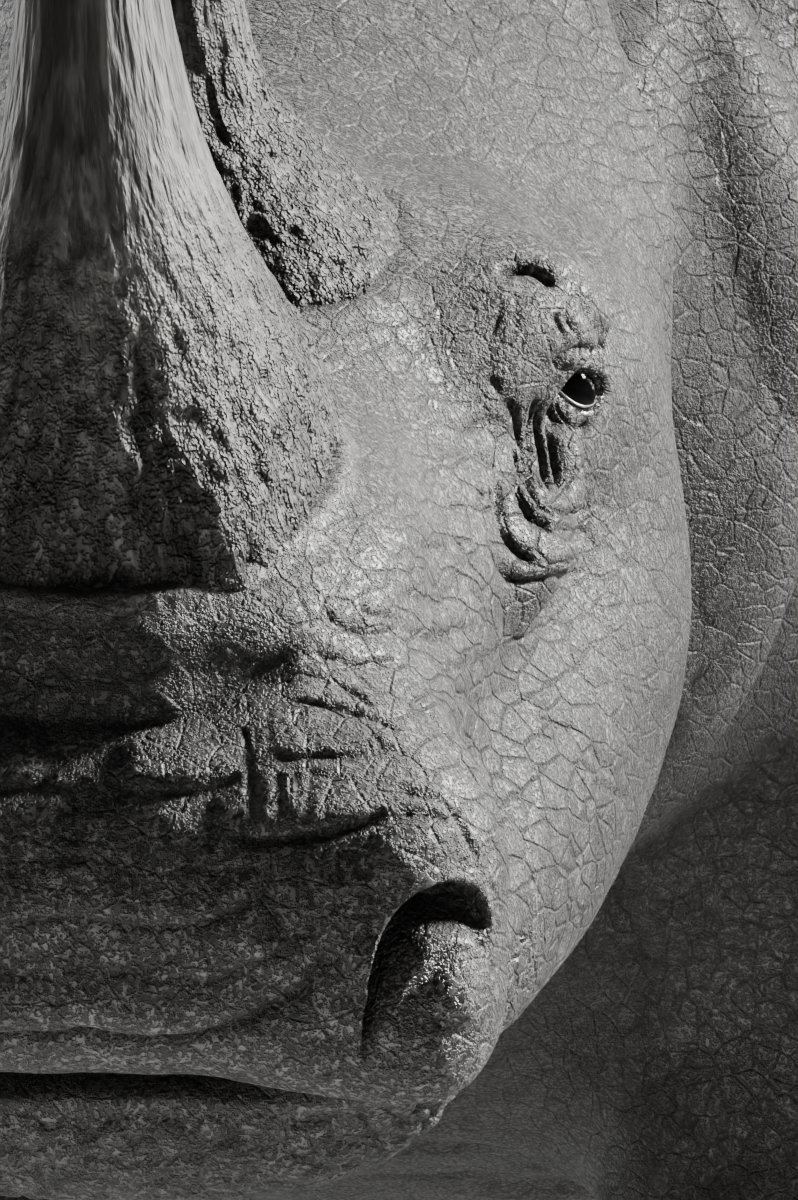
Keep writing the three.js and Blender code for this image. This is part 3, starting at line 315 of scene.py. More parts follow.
    (1.8, 1, 0, [(510, 184, -110), (513, 186, -119), (518, 183, -126)]),
    (5, 3.4, -1, [(526, 176, -148), (528, 175, -167), (551, 175, -180), (564, 178, -186)]),
    (-3.6, 2.8, -1, [(593, 160, -177), (605, 164, -188), (603, 172, -198), (592, 182, -206),
        (456, 187, -266)]),
    (-2.4, 1.3, -1, [(558, 161, -169), (575, 166, -177), (583, 172, -185), (581, 179, -192),
        (454, 183, -252)]),
    (-3.2, 1.5, -1, [(520, 182, -138), (514, 188, -135), (503, 195, -138), (484, 201, -148)]),
    (-3, 2.4, -1, [(505, 188, -177), (521, 189, -185), (537, 188, -192)]),
    (3, 3.6, -1, [(521, 150, -93), (539, 149, -105), (552, 150, -121), (558, 153, -144)]),
    (8.5, 5, -1, [(904, -49, -131), (910, -20, -128), (911, 6, -127), (907, 35, -129), (897, 58, -126),
        (882, 77, -122), (865, 91, -117)]),
    (-6, 5, -1, [(956, 156, -249), (955, 167, -263), (963, 164, -275)]),
    (3.6, 1.8, 1.5, [(955, 150, -233), (950, 159, -233), (942, 168, -237), (934, 175, -245),
        (930, 178, -253)]),
    (-6, 4.4, -1, [(955, 133, -210), (945, 143, -199), (935, 156, -198), (930, 168, -208)]),
    (-6, 3.6, -1, [(960, 132, -226), (963, 129, -243), (968, 126, -262), (971, 122, -278)]),
    (-3, 5, -1, [(927, 10, -158), (926, 33, -158), (921, 60, -156)]),
    (-3, 5, -1, [(947, -17, -176), (950, 9, -180), (950, 38, -180), (946, 62, -176)]),
    (-3, 5, -1, [(964, -23, -204), (964, 9, -207), (965, 39, -209), (962, 69, -204)]),
    (-3, 5, -1, [(968, 43, -234), (966, 69, -229), (963, 89, -219)]),
    (-3, 4.5, -1, [(968, -16, -256), (968, 15, -261), (967, 46, -261), (966, 76, -254)]),
]


# Folds of the body and legs, seen from the side: depth, width, then forward, height.
BODY_FOLDS = [
    (12, 20, [(2690, 1480), (2712, 1300), (2700, 1120), (2640, 900)]),
    (13, 22, [(2590, 1610), (2600, 1380), (2580, 1120), (2505, 870)]),
    (12, 22, [(2470, 1680), (2476, 1400), (2440, 1150), (2370, 880)]),
    (9, 18, [(2640, 1400), (2650, 1250), (2630, 1100)]),
    (11, 24, [(2330, 1500), (2392, 1250), (2368, 1000), (2300, 790)]),
    (14, 26, [(1990, 1500), (1910, 1260), (1880, 1000), (1900, 800), (1985, 640)]),
    (8, 20, [(1850, 1180), (1806, 1000), (1812, 840), (1870, 680)]),
    (11, 18, [(2370, 760), (2260, 660), (2120, 640), (2010, 720)]),
    (8, 14, [(2330, 620), (2220, 575), (2080, 590)]),
    (14, 26, [(900, 1230), (846, 1060), (826, 880), (846, 740), (770, 610)]),
    (9, 20, [(980, 1000), (930, 880), (925, 760), (960, 660)]),
    (10, 22, [(250, 1310), (330, 1080), (400, 860), (400, 640)]),
    (9, 16, [(700, 600), (590, 545), (470, 570), (380, 640)]),
    (8, 14, [(640, 530), (560, 490), (450, 500)]),
    (9, 20, [(90, 1300), (140, 1120), (150, 960)]),
    (7, 22, [(1780, 690), (1450, 650), (1120, 655)]),
    (6, 24, [(2260, 1600), (2200, 1380), (2230, 1180)]),
    (5, 20, [(1700, 1300), (1660, 1080), (1690, 880)]),
    (5, 20, [(1460, 1250), (1430, 1040), (1470, 850)]),
    (5, 20, [(600, 1400), (560, 1250), (590, 1100)]),
]


# --- curves, fields and noise ----------------------------------------------------------------------------


def curves_through(rows):
    """Rows of (position, value, value...) as a function that gives the values, eased between rows."""
    table = np.array(rows, float)
    at, values = table[:, 0], table[:, 1:]
    step = np.diff(at)[:, None]
    rise = np.diff(values, axis=0) / step
    slopes = np.zeros_like(values)
    slopes[0], slopes[-1] = rise[0], rise[-1]
    before, after = rise[:-1], rise[1:]
    product = before * after
    with np.errstate(divide="ignore", invalid="ignore"):
        slopes[1:-1] = np.where(product <= 0, 0, 2 * product / (before + after))

    def curve(position):
        p = np.clip(np.atleast_1d(np.asarray(position, float)), at[0], at[-1])
        i = np.clip(np.searchsorted(at, p, side="right") - 1, 0, len(at) - 2)
        h = step[i]
        t = ((p - at[i]) / h[:, 0])[:, None]
        eased = (3 - 2 * t) * t * t
        bend = h * t * (1 - t) * (slopes[i] * (1 - t) - slopes[i + 1] * t)
        return (values[i] + (values[i + 1] - values[i]) * eased + bend).T

    return curve


TRUNK = curves_through(TRUNK_ROWS)
SKULL = curves_through(SKULL_ROWS)
JAW = curves_through(JAW_ROWS)
FORELEG = curves_through(FORELEG_ROWS)
HINDLEG = curves_through(HINDLEG_ROWS)
TAIL = curves_through(TAIL_ROWS)
# Side, curve, forward, stride.
LEGS = {
    "front_left": (1, FORELEG, 2150, 70),
    "front_right": (-1, FORELEG, 2150, -45),
    "hind_left": (1, HINDLEG, 470, -60),
    "hind_right": (-1, HINDLEG, 470, 75),
}


def smooth(value, low, high):
    """Eases from 0 at low to 1 at high, also where high is the lesser."""
    t = np.clip((value - low) / (high - low), 0, 1)
    return t * t * (3 - 2 * t)


def bell(value, width):
    return np.exp(-((value / width) ** 2))


def blend(a, b, reach):
    """The lesser of two distances, with a fillet where they meet."""
    t = np.maximum(reach - np.abs(a - b), 0) / reach
    return np.minimum(a, b) - t * t * reach / 4


def past_end(position, ends):
    """How far a place lies in a tube's round end, as a share of it, and that end's length."""
    front = (position - (ends["front"] - ends["front_round"])) / ends["front_round"]
    rear = (ends["rear"] + ends["rear_round"] - position) / ends["rear_round"]
    length = np.where(front > rear, ends["front_round"], ends["rear_round"])
    return np.maximum(0, np.maximum(front, rear)), length


def section_distance(side, rise, half, reach, power, narrowing, position, ends):
    """Distance to a tube with a superellipse for a section, whose ends close over their round length."""
    t = np.abs(rise / reach)
    width = half * (1 - narrowing * np.minimum(1, t) ** 1.5)
    ratio = np.maximum(((np.abs(side) / width) ** power + t**power) ** (1 / power), 1e-3)
    outline = np.maximum(np.hypot(side, rise) / ratio, 0.2 * np.minimum(half, reach))
    beyond, length = past_end(position, ends)
    square = ends.get("square", 2)
    size = (ratio**square + beyond**square) ** (1 / square)
    steep = np.hypot((ratio / size) ** (square - 1), (beyond / size) ** (square - 1) * outline / length)
    return outline * (size - 1) / np.maximum(steep, 0.2)


def tube_distance(curve, ends, along, side, above):
    top, bottom, half, power, narrow_top, narrow_bottom = curve(along)
    rise = above - (top + bottom) / 2
    narrowing = np.where(rise > 0, narrow_top, narrow_bottom)
    return section_distance(side, rise, half, (top - bottom) / 2, power, narrowing, along, ends)


def ball_distance(along, side, above, centre, radii):
    offset = np.stack([along - centre[0], side - centre[1], above - centre[2]])
    ratio = np.maximum(np.linalg.norm(offset / np.array(radii)[:, None], axis=0), 1e-4)
    return np.linalg.norm(offset, axis=0) * (1 - 1 / ratio)


def toes_of(leg):
    """The middle of each toe: its angle, side and forward place."""
    hand, curve, where, stride = leg
    side, forward, half, _ = (float(v[0]) for v in curve(0))
    out = half - 36
    return [
        (angle, hand * side + math.sin(angle) * out, where + forward + stride + math.cos(angle) * (out + 14))
        for angle in TOE_ANGLES
    ]


def leg_distance(leg, side, forward, height):
    hand, curve, where, stride = leg
    line_side, line_forward, half, reach = curve(height)
    swing = stride * np.clip(1 - height / LEG_FADE, 0, 1)
    ahead = forward - where - line_forward - swing
    distance = section_distance(side * hand - line_side, ahead, half, reach, 2.3, 0, height, LEG_END)
    for _, toe_side, toe_forward in toes_of(leg):
        toe = ball_distance(forward, side, height, (toe_forward, toe_side, 48), (64, 60, 62))
        distance = np.where(height < 260, blend(distance, toe, 26), distance)
    return distance


def tail_distance(side, forward, height):
    """Distance to the tail, as a chain of short round stretches."""
    shares = np.linspace(0, 1, 22)
    f, s, h, deep, wide = TAIL(shares)
    radius = (deep + wide) / 2
    line = np.stack([f, s, h], 1)
    points = np.stack([forward, side, height], 1)
    best = np.full(len(points), 1e9)
    for a, b, ra, rb in zip(line[:-1], line[1:], radius[:-1], radius[1:]):
        t = np.clip((points - a) @ (b - a) / ((b - a) @ (b - a)), 0, 1)
        gap = np.linalg.norm(points - a - t[:, None] * (b - a), axis=1) - (ra + (rb - ra) * t)
        best = np.minimum(best, gap)
    return best


def head_distance(along, side, above):
    away = np.abs(side)
    distance = tube_distance(SKULL, SKULL_ENDS, along, away, above)
    lips = smooth(along, 740, 830)
    distance = blend(distance, tube_distance(JAW, JAW_ENDS, along, away, above), 26 - 19 * lips)
    for *centre, radii, reach in SWELLINGS:
        distance = blend(distance, ball_distance(along, away, above, centre, radii), reach)
    waist = np.hypot((along - 780) / 1.5, (above + 225) / 1.2)
    return distance + 7 * bell(waist, 52)


def in_head(forward, height):
    """A place of the body's frame in the head's: along and above."""
    f, h = forward - CREST[0], height - CREST[1]
    c, s = math.cos(HEAD_PITCH), math.sin(HEAD_PITCH)
    return f * c - h * s, f * s + h * c


def body_coordinates(points):
    """Points in metres as side, forward and height in millimetres."""
    return points[:, 0] / MM, ORIGIN_FORWARD - points[:, 1] / MM, points[:, 2] / MM


def head_coordinates(points):
    """Points in metres as rows of along, side, above in millimetres."""
    side, forward, height = body_coordinates(points)
    along, above = in_head(forward, height)
    return np.stack([along, side, above], 1)


def flesh_distance(points):
    """Distance from points in metres to the smooth flesh, in millimetres."""
    side, forward, height = body_coordinates(points)
    distance = tube_distance(TRUNK, TRUNK_ENDS, forward, np.abs(side), height)
    for where, lean, depth, width, low, high in RINGS:
        off = forward - where - lean * (height - 1100)
        upright = smooth(height, low - 60, low + 60) * (1 - smooth(height, high - 90, high + 90))
        distance = distance + depth * upright * bell(off, width)
    for leg in LEGS.values():
        near = np.abs(forward - leg[2]) < 700
        distance[near] = blend(distance[near], leg_distance(leg, side[near], forward[near], height[near]), 90)
    near = forward > 2300
    along, above = in_head(forward[near], height[near])
    distance[near] = blend(distance[near], head_distance(along, side[near], above), 55)
    near = forward < 200
    distance[near] = blend(distance[near], tail_distance(side[near], forward[near], height[near]), 36)
    return -blend(-distance, height, SOLE_ROUND)


def chance(i, j, k, seed):
    """A repeatable draw from 0 to 1 for each whole-numbered place."""
    i, j, k = (axis.astype(np.int64) for axis in (i, j, k))
    mixed = (i * 73856093) ^ (j * 19349663) ^ (k * 83492791)
    mixed = (mixed ^ (seed * 2654435761)) & 0xFFFFFFFF
    mixed = ((mixed ^ (mixed >> 15)) * 2246822519) & 0xFFFFFFFF
    mixed = ((mixed ^ (mixed >> 13)) * 3266489917) & 0xFFFFFFFF
    return ((mixed ^ (mixed >> 16)) & 0xFFFFFF) / float(0xFFFFFF)


def ripple(points, size, seed=0):
    """Smooth noise from -1 to 1 with bumps about as wide as size."""
    scaled = points / size
    cell = np.floor(scaled).astype(np.int64)
    t = scaled - cell
    t = t * t * t * (t * (t * 6 - 15) + 10)
    total = np.zeros(len(points))
    for corner in range(8):
        step = np.array([corner & 1, corner >> 1 & 1, corner >> 2])
        weight = np.prod(np.where(step, t, 1 - t), axis=1)
        total += weight * chance(*(cell + step).T, seed)
    return total * 2 - 1


def rough(points, size, seed=0, octaves=3):
    """Several layers of noise, each half as wide and half as strong as the last."""
    total, strength = np.zeros(len(points)), 1.0
    for layer in range(octaves):
        total += strength * ripple(points, size / 2**layer, seed + layer)
        strength /= 2
    return total / (2 - 2 ** (1 - octaves))


def cobbles(points, size, seed=0):
    """Distances to the nearest and second nearest of scattered centres, as shares of size."""
    scaled = points / size
    cell = np.floor(scaled).astype(np.int64)
    near = np.full(len(points), 9.0)
    second = np.full(len(points), 9.0)
    for step in np.ndindex(3, 3, 3):
        at = cell + np.array(step) - 1
        centre = at + np.stack([chance(*at.T, seed + n) for n in range(3)], 1) * 0.9
        gap = np.linalg.norm(scaled - centre, axis=1)
        second = np.where(gap < near, near, np.minimum(second, gap))
        near = np.minimum(near, gap)
    return near, second


# --- meshes ----------------------------------------------------------------------------------------------


def head_matrix(along=0.0, side=0.0, above=0.0):
    """A frame with the head's axes (x to its left, y back, z above), at a place on the head."""
    base = Matrix.Translation((0, (ORIGIN_FORWARD - CREST[0]) * MM, CREST[1] * MM))
    place = Matrix.Translation((side * MM, -along * MM, above * MM))
    return base @ Matrix.Rotation(HEAD_PITCH, 4, "X") @ place


def carried(points, matrix):
    """Points moved by a matrix."""
    turn = np.array(matrix)
    return points @ turn[:3, :3].T + turn[:3, 3]


def left_or_right(name, hand):
    return f"{name}_left" if hand > 0 else f"{name}_right"


def new_object(name, mesh):
    thing = bpy.data.objects.new(name, mesh)
    bpy.context.scene.collection.objects.link(thing)
    return thing


def mesh_from(bm, name):
    mesh = bpy.data.meshes.new(name)
    bm.to_mesh(mesh)
    bm.free()
    return mesh


def points_of(mesh):
    flat = np.empty(len(mesh.vertices) * 3, np.float32)
    mesh.vertices.foreach_get("co", flat)
    return flat.reshape(-1, 3).astype(float)


def move_points(mesh, points):
    mesh.vertices.foreach_set("co", points.astype(np.float32).ravel())
    mesh.update()


def normals_of(mesh):
    flat = np.empty(len(mesh.vertices) * 3, np.float32)
    mesh.vertex_normals.foreach_get("vector", flat)
    return flat.reshape(-1, 3).astype(float)


def edges_of(mesh):
    flat = np.empty(len(mesh.edges) * 2, np.int32)
    mesh.edges.foreach_get("vertices", flat)
    return flat.reshape(-1, 2)


def relax(points, edges, passes, strength=0.5, chosen=None):
    """Draws each point towards the middle of its neighbours."""
    count = len(points)
    first, second = edges.T
    neighbours = np.bincount(first, minlength=count) + np.bincount(second, minlength=count)
    neighbours = np.maximum(neighbours, 1)
    share = strength if chosen is None else strength * chosen[:, None]
    for _ in range(passes):
        middle = np.stack(
            [
                np.bincount(first, points[second, n], count) + np.bincount(second, points[first, n], count)
                for n in range(3)
            ],
            1,
        )
        points = points + share * (middle / neighbours[:, None] - points)
    return points


def mark(mesh, name, values):
    """Stores a number for each vertex, for the materials to read."""
    layer = mesh.attributes.new(name, "FLOAT", "POINT")
    layer.data.foreach_set("value", values.astype(np.float32))


def shade_smooth(mesh):
    mesh.shade_smooth()


def finish_piece(thing, slot, *materials):
    """Hands a finished piece to the frame and gives it its materials."""
    thing.data.materials.clear()
    for material in materials:
        thing.data.materials.append(material)
    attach(thing, BODY)


def settle(points, passes=4, reach=30.0):
    """Moves points on to the smooth flesh."""
    nudge = 0.002
    for _ in range(passes):
        value = flesh_distance(points)
        slope = np.stack(
            [(flesh_distance(points + np.eye(3)[n] * nudge) - value) / (nudge / MM) for n in range(3)], 1
        )
        steep = np.maximum((slope**2).sum(1), 0.05)
        step = np.clip(value / steep, -reach, reach)
        points = points - step[:, None] * slope * MM
    return points


def ringed_cylinder(cuts, around):
    """A closed cylinder of unit size, cut into rings."""
    bm = bmesh.new()
    bmesh.ops.create_cone(bm, cap_ends=True, segments=around, radius1=1, radius2=1, depth=1)
    risers = [e for e in bm.edges if abs(e.verts[0].co.z - e.verts[1].co.z) > 0.5]
    bmesh.ops.subdivide_edges(bm, edges=risers, cuts=cuts, use_grid_fill=True)
    return bm


def loft(place, rings=26, around=32):
    """A closed tube; place gives the point at a share of its length and an angle round it."""
    bm = ringed_cylinder(rings, around)
    for vert in bm.verts:
        vert.co = place(vert.co.z + 0.5, math.atan2(vert.co.y, vert.co.x))
    return bm


def section_point(half, reach, power, angle):
    c, s = math.cos(angle), math.sin(angle)
    size = (abs(c) ** power + abs(s) ** power) ** (-1 / power)
    return half * c * size, reach * s * size


def world_point(side, forward, height):
    return Vector((side * MM, (ORIGIN_FORWARD - forward) * MM, height * MM))


def head_point(along, side, above):
    return head_matrix() @ Vector((side * MM, -along * MM, above * MM))


def rough_solids():
    """Plain overlapping solids that fill the flesh, as one mesh."""
    whole = bpy.data.meshes.new("flesh")
    joined = bmesh.new()

    def add(bm):
        part = mesh_from(bm, "part")
        joined.from_mesh(part)
        bpy.data.meshes.remove(part)

    def level_tube(curve, ends, to_world):
        def place(share, angle):
            at = ends["rear"] + (ends["front"] - ends["rear"]) * (0.004 + 0.992 * share)
            top, bottom, half, power, _, _ = (float(v[0]) for v in curve(at))
            beyond, _ = past_end(np.array([at]), ends)
            square = ends.get("square", 2)
            shrink = float(max(1e-3, 1 - min(1, beyond[0]) ** square)) ** (1 / square)
            side, rise = section_point(half * shrink * 0.94, (top - bottom) / 2 * shrink, power, angle)
            return to_world(at, side, (top + bottom) / 2 + rise)

        add(loft(place))

    level_tube(TRUNK, TRUNK_ENDS, lambda at, side, up: world_point(side, at, up))
    level_tube(SKULL, SKULL_ENDS, lambda at, side, up: head_point(at, side, up))
    level_tube(JAW, JAW_ENDS, lambda at, side, up: head_point(at, side, up))
    for hand, curve, where, stride in LEGS.values():

        def place(share, angle, hand=hand, curve=curve, where=where, stride=stride):
            height = 1180 * share
            line_side, line_forward, half, reach = (float(v[0]) for v in curve(height))
            swing = stride * max(0.0, 1 - height / LEG_FADE)
            side, ahead = section_point(half, reach, 2.3, angle)
            return world_point(hand * line_side + side, where + line_forward + swing + ahead, height)

        add(loft(place, rings=20))

    def tail_place(share, angle):
        forward, side, height, deep, wide = (float(v[0]) for v in TAIL(share))
        ahead, after = TAIL(max(0.0, share - 0.01)), TAIL(min(1.0, share + 0.01))
        way = Vector((0, -(float(after[0][0]) - float(ahead[0][0])), float(after[2][0]) - float(ahead[2][0])))
        across = way.normalized().cross(Vector((1, 0, 0)))
        x, back = section_point(wide, deep, 2, angle)
        return world_point(side + x, forward, height) + across * back * MM

    add(loft(tail_place, rings=24, around=16))
    for along, side, above, radii, _ in SWELLINGS:
        for hand in (1, -1) if side else (1,):
            bm = bmesh.new()
            bmesh.ops.create_icosphere(bm, subdivisions=3, radius=1)
            size = Matrix.Diagonal((radii[1] * MM, radii[0] * MM, radii[2] * MM, 1))
            bm.transform(head_matrix(along, side * hand, above) @ size)
            add(bm)
    for leg in LEGS.values():
        for _, side, forward in toes_of(leg):
            bm = bmesh.new()
            bmesh.ops.create_icosphere(bm, subdivisions=3, radius=1)
            size = Matrix.Diagonal((60 * MM, 64 * MM, 62 * MM, 1))
            bm.transform(Matrix.Translation(world_point(side, forward, 48)) @ size)
            add(bm)
    bmesh.ops.recalc_face_normals(joined, faces=joined.faces)
    joined.to_mesh(whole)
    joined.free()
    return whole


def remeshed(mesh, voxel):
    """The outside of overlapping solids as one even mesh."""
    thing = new_object("remeshed", mesh)
    cut = thing.modifiers.new("voxels", "REMESH")
    cut.mode = "VOXEL"
    cut.voxel_size = voxel
    graph = bpy.context.evaluated_depsgraph_get()
    result = bpy.data.meshes.new_from_object(thing.evaluated_get(graph))
    bpy.data.objects.remove(thing)
    return result


def refine(mesh, wanted):
    """Cuts the faces whose middles are wanted in four."""
    count = len(mesh.polygons)
    centres = np.empty(count * 3, np.float32)
    mesh.polygons.foreach_get("center", centres)
    chosen = wanted(centres.reshape(-1, 3).astype(float))
    bm = bmesh.new()
    bm.from_mesh(mesh)
    bm.faces.ensure_lookup_table()
    edges = set()
    for index in np.nonzero(chosen)[0]:
        edges.update(bm.faces[index].edges)
    bmesh.ops.subdivide_edges(bm, edges=list(edges), cuts=1, use_grid_fill=True)
    bm.to_mesh(mesh)
    bm.free()
    return mesh


# --- materials -------------------------------------------------------------------------------------------


class Value:
    """A socket that carries a number, with Python's operators."""

    def __init__(self, shader, socket):
        self.shader = shader
        self.socket = socket

    def _math(self, operation, *others):
        return self.shader.math(operation, self, *others)

    def __add__(self, other):
        return self._math("ADD", other)

    def __radd__(self, other):
        return self.shader.math("ADD", other, self)

    def __sub__(self, other):
        return self._math("SUBTRACT", other)

    def __rsub__(self, other):
        return self.shader.math("SUBTRACT", other, self)

    def __mul__(self, other):
        return self._math("MULTIPLY", other)

    def __rmul__(self, other):
        return self.shader.math("MULTIPLY", other, self)

    def clamp(self):
        return self._math("MINIMUM", 1.0)._math("MAXIMUM", 0.0)

    def between(self, low, high):
        """Eases from 0 at low to 1 at high."""
        return self.shader.node(
            "ShaderNodeMapRange",
            {"interpolation_type": "SMOOTHSTEP"},
            {"Value": self, "From Min": low, "From Max": high},
            "Result",
        )


class Shader:
    """A material's node tree."""

    def __init__(self, name, roughness, **constants):
        self.material = bpy.data.materials.new(name)
        self.material.use_nodes = True
        self.tree = self.material.node_tree
        self.surface = self.tree.nodes["Principled BSDF"]
        self.surface.inputs["Roughness"].default_value = roughness
        for socket, value in constants.items():
            self.surface.inputs[socket.replace("_", " ")].default_value = value
        self.place = self.node("ShaderNodeTexCoord", {}, {}, "Object")

    def node(self, kind, settings, inputs, output=0):
        made = self.tree.nodes.new(kind)
        for name, value in settings.items():
            if name == "stops":
                ramp = made.color_ramp
                while len(ramp.elements) < len(value):
                    ramp.elements.new(0.5)
                for element, (position, color) in zip(ramp.elements, value):
                    element.position = position
                    element.color = (*color, 1)
            else:
                setattr(made, name, value)
        for name, value in inputs.items():
            self.feed(made.inputs[name], value)
        return Value(self, made.outputs[output])

    def feed(self, socket, value):
        if isinstance(value, Value):
            self.tree.links.new(value.socket, socket)
        else:
            socket.default_value = value

    def math(self, operation, *values):
        return self.node("ShaderNodeMath", {"operation": operation}, dict(enumerate(values)))

    def stretched(self, scale, turn=(0, 0, 0)):
        """Object coordinates, scaled and turned."""
        return self.node("ShaderNodeMapping", {}, {"Vector": self.place, "Scale": scale, "Rotation": turn})

    def noise(self, scale, detail=3.0, rough=0.5, at=None, **more):
        inputs = {"Vector": at or self.place, "Scale": scale, "Detail": detail, "Roughness": rough, **more}
        return self.node("ShaderNodeTexNoise", {}, inputs, 0)

    def warped(self, scale, amount):
        """Object coordinates, pushed about by noise."""
        inputs = {"Vector": self.place, "Scale": scale, "Detail": 0.0}
        push = self.node("ShaderNodeTexNoise", {}, inputs, "Color")
        centred = self.node("ShaderNodeVectorMath", {"operation": "SUBTRACT"}, {0: push, 1: (0.5, 0.5, 0.5)})
        grown = self.node("ShaderNodeVectorMath", {"operation": "SCALE"}, {0: centred, "Scale": amount})
        return self.node("ShaderNodeVectorMath", {"operation": "ADD"}, {0: self.place, 1: grown})

    def lines(self, scale, turn, stretch, width, at):
        """Long thin lines that run one way and branch: 0 on a line, 1 away from it."""
        drawn = self.node("ShaderNodeMapping", {}, {"Vector": at, "Rotation": turn, "Scale": stretch})
        inputs = {"Vector": drawn, "Scale": scale}
        gap = self.node("ShaderNodeTexVoronoi", {"feature": "DISTANCE_TO_EDGE"}, inputs, "Distance")
        return gap.between(0.0, width)

    def mark(self, name):
        return self.node("ShaderNodeAttribute", {"attribute_name": name}, {}, "Fac")

    def mix(self, share, first, second, kind="MIX"):
        """Two colours mixed."""
        made = self.tree.nodes.new("ShaderNodeMix")
        made.data_type = "RGBA"
        made.blend_type = kind
        for socket, value in zip((made.inputs[0], made.inputs[6], made.inputs[7]), (share, first, second)):
            self.feed(socket, (*value, 1) if isinstance(value, tuple) else value)
        return Value(self, made.outputs[2])

    def ramp(self, value, *stops):
        return self.node("ShaderNodeValToRGB", {"stops": stops}, {"Fac": value})

    def finish(self, color=None, roughness=None, height=None, depth=0.001, **more):
        """Feeds the surface; height is a relief that stands depth metres tall."""
        if color is not None:
            self.feed(self.surface.inputs["Base Color"], color)
        if roughness is not None:
            self.feed(self.surface.inputs["Roughness"], roughness)
        if height is not None:
            bump = self.node("ShaderNodeBump", {}, {"Height": height, "Distance": depth, "Strength": 1.0})
            self.feed(self.surface.inputs["Normal"], bump)
        for name, value in more.items():
            self.feed(self.surface.inputs[name.replace("_", " ")], value)
        return self.material


def grey(level, warmth=0.0):
    """A neutral colour, drawn a little towards brown by warmth."""
    return (level * (1 + warmth), level, level * (1 - 1.3 * warmth))


def hide_material(tone):
    """Hide: mottled grey, grained and cracked on the cheeks, with painted shade in its pits, cracks, creases
    and hollows.
    """
    shader = Shader("hide", 0.6, Specular_IOR_Level=0.5)
    crease, dark, wet, crack, body, pale = (
        shader.mark(name) for name in ("crease", "dark", "wet", "crack", "body", "pale")
    )
    broad = shader.noise(4.5, 1.0)
    mottle = shader.noise(75.0, 2.0, 0.8)
    color = shader.ramp(
        broad.between(0.3, 0.7) * 0.3 + mottle.between(0.38, 0.62) * (0.7 - body * 0.35) + body * 0.17,
        (0.1, grey(0.5 * tone, 0.07)),
        (0.5, grey(1.0 * tone, 0.06)),
        (0.9, grey(1.8 * tone, 0.05)),
    )
    near = shader.warped(34.0, 0.006)
    speck = shader.noise(360.0, 2.0, 0.8).between(0.43, 0.57)
    uncut = shader.lines(70.0, (0.7, 0, 0.2), (1, 0.34, 1), 0.085, near)
    cut = (1 - uncut) * (0.4 + 0.6 * (crack + body).clamp())
    streaks = shader.noise(26.0, 2.0, 0.6, shader.stretched((1, 1, 0.16)))
    color = shader.mix(streaks.between(0.6, 0.4) * (0.25 + crack * 0.5), color, grey(0.4 * tone, 0.07))
    # painted shade in the low pits of the grain
    color = shader.mix((1 - speck) * (0.95 - body * 0.35), color, grey(0.08 * tone, 0.08))
    # painted shade in the cracks
    color = shader.mix((cut * (1.1 - body * 0.7)).clamp(), color, grey(0.1 * tone, 0.08))
    # painted shade in the creases, the mouth's slit, the horn's seat and the seams between the lip's cobbles
    color = shader.mix((crease * 0.85).clamp(), color, grey(0.12 * tone, 0.1))
    # painted shade in the nostril, at the lid's margin, in deep broad hollows and under the mouth, and a darker
    # tint round the eye
    color = shader.mix((dark * 0.85).clamp(), color, grey(0.14 * tone, 0.08))
    color = shader.mix((pale * 0.6).clamp(), color, grey(1.7 * tone, 0.05))
    height = speck * 2.0 - cut * (1.9 - body * 0.7)
    return shader.finish(color, 0.62 - wet * 0.4 - speck * 0.15, height, 0.001)


def horn_material(tone):
    """Horn: streaked fibre, crumbled at the base, with painted shade between its clumps there and in its pits.
    """
    shader = Shader("horn", 0.55, Specular_IOR_Level=0.4)
    strand = shader.node("ShaderNodeAttribute", {"attribute_name": "strand"}, {}, "Vector")
    base, pit = shader.mark("base"), shader.mark("pit")
    fibre = shader.noise(480.0, 2.0, 0.6, strand)
    streaks = shader.noise(130.0, 2.0, 0.7, strand).between(0.36, 0.64)
    broad = shader.noise(38.0, 2.0, 0.65, strand).between(0.34, 0.66)
    crumbs = shader.noise(190.0, 2.0, 0.75).between(0.4, 0.6)
    color = shader.ramp(
        fibre * 0.3 + streaks * 0.35 + broad * 0.35,
        (0.25, grey(0.22 * tone, 0.1)),
        (0.5, grey(0.75 * tone, 0.08)),
        (0.75, grey(1.9 * tone, 0.07)),
    )
    # painted shade between the clumps at the base
    color = shader.mix((1 - crumbs) * base * 0.75, color, grey(0.12 * tone, 0.1))
    # painted shade in the pits between the clumps
    color = shader.mix((pit * 0.6).clamp(), color, grey(0.15 * tone, 0.1))
    height = fibre * 0.8 + streaks * 0.6 + crumbs * base * 1.6
    return shader.finish(color, None, height, 0.0015)


def nail_material(tone):
    shader = Shader("nail", 0.5, Specular_IOR_Level=0.4)
    streaks = shader.noise(60.0, 4.0, 0.6, shader.stretched((1, 1, 0.25)))
    color = shader.ramp(
        streaks,
        (0.3, grey(0.5 * tone, 0.1)),
        (0.6, grey(tone, 0.08)),
        (0.8, grey(1.5 * tone, 0.06)),
    )
    return shader.finish(color, None, streaks, 0.0015)


def eye_material():
    shader = Shader("eye", 0.06, Specular_IOR_Level=0.22)
    out = shader.mark("out")
    color = shader.ramp(
        out,
        (0.0, grey(0.06, 0.2)),
        (0.5, grey(0.016, 0.3)),
        (0.8, grey(0.006, 0.3)),
        (0.93, grey(0.002)),
    )
    return shader.finish(color)


# a glossy wet line whose pale colour is a painted highlight
def tear_highlight_material(tone):
    shader = Shader("tear", 0.08, Specular_IOR_Level=0.8)
    streaks = shader.noise(300.0, 2.0)
    return shader.finish(shader.ramp(streaks, (0.3, grey(0.6 * tone)), (0.7, grey(tone))))


